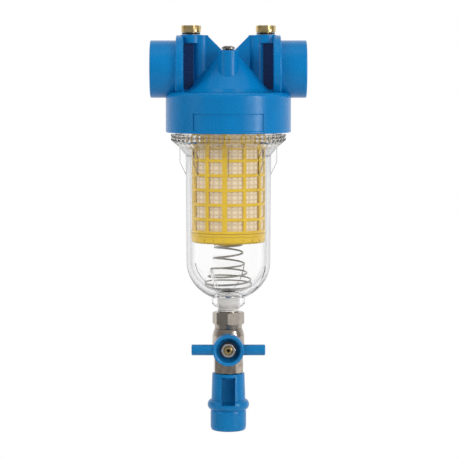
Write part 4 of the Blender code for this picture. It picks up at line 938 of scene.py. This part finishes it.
nickel = worked_metal("nickel_plate_skin", (0.45, 0.405, 0.355), (0.30, 0.25, 0.21), 0.20, 0.4)
end_piece = octagon("valve_end", 15.1, -241.6, -229.8, -2.6)
weld(end_piece, lathe("end_stud", [(5.0, -231.0, 0), (10.0, -231.0, 0), (10.0, -229.0, 0), (9.35, -228.4, 0),
                                   (9.35, -213.6, 0), (8.6, -212.6, 0), (5.0, -212.6, 0)], 96))
weld(end_piece, lathe("end_neck", [(5.0, -254.0, 0), (11.2, -254.0, 0.5), (11.2, -245.5, 0),
                                   (13.0, -245.5, 0.4), (13.3, -241.1, 0), (5.0, -241.1, 0)], 96))
weld(end_piece, lathe("end_bore", [(7.5, -256.0, 0), (7.5, -211.0, 0)], 64), "DIFFERENCE")
smooth_to(end_piece, 30)
half_inch_pitch = 1.814
end_thread = screw_thread("end_thread", 9.3, 10.45, half_inch_pitch, -229.4, -213.1)
smooth_to(end_thread, 30, even=False)
add_loose(end_piece, end_thread)
dress(end_piece, nickel)
thread_tape = moulded_plastic("white_thread_tape", (0.66, 0.65, 0.63), (0.50, 0.49, 0.46), 0.5)
paint_where(end_piece, thread_tape, lambda face: face.center.z > -228.9 * MM)
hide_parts("valve_end_piece")
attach(end_piece, "bowl_group")


# Valve body: a brass casting, nickel plated, with a boss for the stem at the front and a machined
# octagon below. The ball floats in it between two plastic seats, and a gland nut squeezes the packing.
valve_z = -262.6


def laid_front(piece, edge_angle=33, even=True):
    """Turn an upright piece to the front, set it on the stem axis and shade it."""
    settle(piece, at(0, 0, valve_z) @ to_front)
    smooth_to(piece, edge_angle, even)
    return piece


casting = octagon("valve_casting", 14.5, -288.2, -270.5, -16.0)
weld(casting, lathe("casting_barrel", [(5.0, -272.0, 0), (12.8, -272.0, 0), (12.8, -270.2, 0.5),
                                       (15.2, -266.5, 2.0), (15.2, -252.3, 2.0), (13.8, -247.3, 1.5),
                                       (12.9, -245.8, 0.6), (5.0, -245.8, 0)], 96))
stem_boss = lathe("stem_boss", [(4.0, 4.0, 0), (9.8, 4.0, 0), (9.8, 19.0, 0.6), (4.0, 19.0, 0)], 72)
settle(stem_boss, at(0, 0, valve_z) @ to_front)
weld(casting, stem_boss)
# Both bores are one tool, because a first cut can leave a pinhole that spoils a second one.
bores = lathe("casting_bore", [(10.8, -289.5, 0), (10.8, -276.2, 0), (7.5, -276.2, 0),
                               (7.5, -271.2, 0), (11.5, -271.2, 0), (11.5, -244.5, 0)], 80)
stem_bore = lathe("stem_bore", [(5.9, 5.0, 0), (5.9, 11.7, 0), (5.0, 11.7, 0), (5.0, 12.8, 0),
                                (7.5, 12.8, 0), (7.5, 20.0, 0)], 64)
settle(stem_bore, at(0, 0, valve_z) @ to_front)
weld(bores, stem_bore)
weld(casting, bores, "DIFFERENCE")
smooth_to(casting, 30)
dress(casting, worked_metal("cast_nickel_skin", (0.52, 0.46, 0.40), (0.26, 0.21, 0.175), 0.15, 0.7, 0.06))
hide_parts("valve_body")
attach(casting, "bowl_group")

seat_plastic = moulded_plastic("white_seat_skin", (0.85, 0.85, 0.83), (0.78, 0.78, 0.75), 0.45, 0.01)
for sign, word in ((1, "upper"), (-1, "lower")):
    seat = lathe(f"{word}_seat", [(6.4, valve_z + sign * 8.3, 0.1), (11.2, valve_z + sign * 8.3, 0.2),
                                  (11.2, valve_z + sign * 6.2, 0.2), (7.4, valve_z + sign * 6.2, 0),
                                  (6.4, valve_z + sign * 7.2, 0)], 64, ring=True)
    smooth_to(seat, 30)
    dress(seat, seat_plastic)
    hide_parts(f"{word}_ball_seat")
    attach(seat, "bowl_group")
packing = laid_front(flat_ring("packing_ring", 5.0, 7.2, 13.1, 15.7, 0.2, 0.2, 56))
dress(packing, seat_plastic)
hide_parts("stem_packing")
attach(packing, "bowl_group")
gland = lathe("gland_hex", [(6.0, 19.3, 0), (7.8, 19.3, 0), (9.2, 19.8, 0), (9.2, 20.7, 0), (7.4, 21.2, 0),
                            (6.0, 21.2, 0)], 72)
gland_flats = lathe("gland_tool", [(8.6, 18.0, 0), (8.6, 22.0, 0)], 6)
settle(gland_flats, turned(30))
weld(gland, gland_flats, "INTERSECT")
weld(gland, lathe("gland_shank", [(5.5, 16.0, 0), (7.2, 16.0, 0.4), (7.2, 19.6, 0), (5.5, 19.6, 0)], 56))
weld(gland, lathe("gland_bore", [(5.0, 15.0, 0), (5.0, 22.0, 0)], 48), "DIFFERENCE")
laid_front(gland)
dress(gland, plug_brass)
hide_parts("gland_nut")
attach(gland, "bowl_group")


# Ball and stem: a hard chromed ball with one bore across it, turned by the tang of a brass stem. The
# stem's threaded end, with its centre drilling, shows in the middle of the handle.
ball_r = 9.3
ball = lathe("chromed_ball", [(ball_r * cos(radians(a)), ball_r * sin(radians(a)), 0)
                              for a in range(-84, 85, 7)], 72)
ball_bore = lathe("ball_bore", [(6.0, -11.0, 0), (6.0, 11.0, 0)], 48)
settle(ball_bore, to_side(1))
weld(ball, ball_bore, "DIFFERENCE")
weld(ball, bevelled_box("ball_slot", (-9.6, -10.3, -1.6), (9.6, -7.1, 1.6), 0.0), "DIFFERENCE")
settle(ball, at(0, 0, valve_z))
smooth_to(ball, 33)
dress(ball, worked_metal("ball_chrome", (0.62, 0.62, 0.63), (0.50, 0.50, 0.51), 0.08, 0.3, 0.005))
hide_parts("valve_ball")
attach(ball, "handle")
stem = lathe("brass_stem", [(3.0, 9.6, 0), (5.6, 9.6, 0.2), (5.6, 11.4, 0.2), (4.7, 11.4, 0),
                            (4.7, 21.3, 0.3), (3.6, 21.3, 0), (3.6, 35.5, 0.9), (1.8, 35.5, 0),
                            (1.3, 34.9, 0), (1.2, 32.6, 0)], 64)
weld(stem, bevelled_box("tang", (-3.5, -1.3, 7.4), (3.5, 1.3, 10.6), 0.1))
laid_front(stem)
stem_thread = screw_thread("stem_thread", 3.55, 3.9, 1.0, 22.4, 34.9, 40)
laid_front(stem_thread, 30, even=False)
add_loose(stem, stem_thread)
dress(stem, plug_brass)


def from_stem_axis(face):
    """How far a face's middle is from the stem's axis."""
    return sqrt(face.center.x ** 2 + (face.center.z - valve_z * MM) ** 2)


# Painted shade: the faces inside the centre drilling get the black rubber material.
paint_where(stem, rubber_and_drilling_shade, lambda face: face.center.y < -32.0 * MM and from_stem_axis(face) < 1.4 * MM)
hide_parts("valve_stem")
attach(stem, "handle")


# Handle: a blue moulding with a deep cup in its hub and two round wings. A steel washer and a hex
# nut in the cup clamp it on the stem.
handle_blue = moulded_plastic("handle_blue_skin", (0.008, 0.175, 0.42), (0.004, 0.14, 0.36), 0.30)
hub = lathe("handle_hub", [(3.0, 21.6, 0), (14.6, 21.6, 1.0), (14.6, 36.1, 1.3), (12.9, 36.1, 0.6),
                           (11.6, 35.2, 0.4), (11.3, 33.0, 0.5), (8.7, 28.1, 1.0), (3.0, 28.1, 0)], 96)
wings = lathe("handle_wings", [(3.0, -34.6, 0), (5.1, -34.6, 1.2), (5.1, -10.0, 0), (5.1, 10.0, 0),
                               (5.1, 34.6, 1.2), (3.0, 34.6, 0)], 64)
settle(wings, at(0, 0, 28.85) @ to_side(1))
cup_tool = lathe("cup_tool", [(8.7, 28.1, 1.0), (11.3, 33.0, 0.5), (11.6, 35.2, 0.4), (12.3, 37.0, 0)], 96)
weld(wings, cup_tool, "DIFFERENCE")
weld(hub, wings)
weld(hub, lathe("hub_bore", [(4.2, 20.0, 0), (4.2, 40.0, 0)], 48), "DIFFERENCE")
laid_front(hub)
dress(hub, handle_blue)
# Painted shade: the faces inside the hub's cup get a darker copy of the handle blue.
cup_painted_shade = moulded_plastic("handle_cup_painted_shade", (0.005, 0.115, 0.30), (0.003, 0.09, 0.25), 0.30)
paint_where(hub, cup_painted_shade, lambda face: from_stem_axis(face) < 11.55 * MM
            and face.center.y > -35.3 * MM and face.normal.y < 0.3)
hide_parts("valve_handle")
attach(hub, "handle")
nut_chrome = worked_metal("nut_chrome", (0.86, 0.84, 0.82), (0.62, 0.59, 0.56), 0.14, 0.4, 0.01)
disc = laid_front(flat_ring("steel_washer", 4.2, 8.0, 28.4, 29.4, 0.1, 0.3, 64))
# Painted shade: the washer is coloured near black, for the shade deep in the cup.
dress(disc, worked_metal("washer_in_painted_shade", (0.07, 0.075, 0.09), (0.03, 0.032, 0.04), 0.25, 0.4, 0.01))
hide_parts("handle_washer")
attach(disc, "handle")
nut = lathe("hex_nut", [(3.0, 29.7, 0), (7.4, 29.7, 0), (7.4, 33.2, 0), (6.3, 34.3, 0.3),
                        (3.0, 34.3, 0)], 72)
nut_flats = lathe("nut_tool", [(7.2, 29.0, 0), (7.2, 35.0, 0)], 6)
settle(nut_flats, turned(30))
weld(nut, nut_flats, "INTERSECT")
weld(nut, lathe("nut_bore", [(4.2, 28.0, 0), (4.2, 33.6, 0), (4.9, 35.0, 0)], 48), "DIFFERENCE")
laid_front(nut, 28)
dress(nut, nut_chrome)
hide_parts("handle_nut")
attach(nut, "handle")


# Drain funnel: a blue moulding that screws into the valve against a gasket. A short nozzle drips over
# an air gap with a window at the front, and the hose end below has a bead and a rounded lip.
funnel = [(7.0, -278.9, 0), (7.0, -293.5, 0), (9.0, -293.5, 0.3), (9.0, -291.5, 0), (13.0, -291.5, 0.8),
          (13.8, -318.6, 0), (14.0, -325.3, 0), (14.0, -343.0, 0.3), (15.2, -343.0, 0)]
funnel += [(15.2 + 1.8 * sin(radians(a)), -338.5 - 4.5 * cos(radians(a)), 0) for a in range(15, 91, 15)]
funnel += [(17.0, -325.3, 0.5)]
funnel += [(16.2 + 3.6 * cos(radians(a)), -318.6 + 4.7 * sin(radians(a)), 0) for a in range(-90, 91, 12)]
funnel += [(15.4, -289.0, 0), (15.0, -288.5, 0), (10.0, -288.5, 0), (9.5, -288.0, 0), (9.5, -279.4, 0),
           (9.0, -278.9, 0)]
drain = lathe("funnel_moulding", funnel, 112, ring=True)
weld(drain, bevelled_box("window_tool", (-6.4, -21.0, -317.7), (6.4, -9.3, -291.3), 0.0), "DIFFERENCE")
smooth_to(drain, 30)
drain_thread = screw_thread("drain_thread", 9.5, 10.4, half_inch_pitch, -288.0, -279.2)
smooth_to(drain_thread, 30, even=False)
add_loose(drain, drain_thread)
dress(drain, moulded_plastic("funnel_blue_skin", (0.002, 0.17, 0.42), (0.001, 0.14, 0.365), 0.28))


def inside_window(face):
    """Whether a face is on the inner wall behind the window."""
    middle = face.center
    within = middle.xy.length < 14.1 * MM and -318.7 * MM < middle.z < -291.6 * MM
    return within and middle.x * face.normal.x + middle.y * face.normal.y < 0.0


# Painted light: the inner wall behind the window gets a lighter copy of the funnel blue.
paint_where(drain, moulded_plastic("funnel_inside_painted_light", (0.004, 0.22, 0.50), (0.003, 0.18, 0.42), 0.5),
            inside_window)
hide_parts("drain_funnel")
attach(drain, "bowl_group")
gasket = flat_ring("funnel_ring", 7.3, 10.4, -278.0, -276.5, 0.2, 0.2, 72)
smooth_to(gasket, 40, even=False)
dress(gasket, rubber_and_drilling_shade)
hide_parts("funnel_gasket")
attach(gasket, "bowl_group")
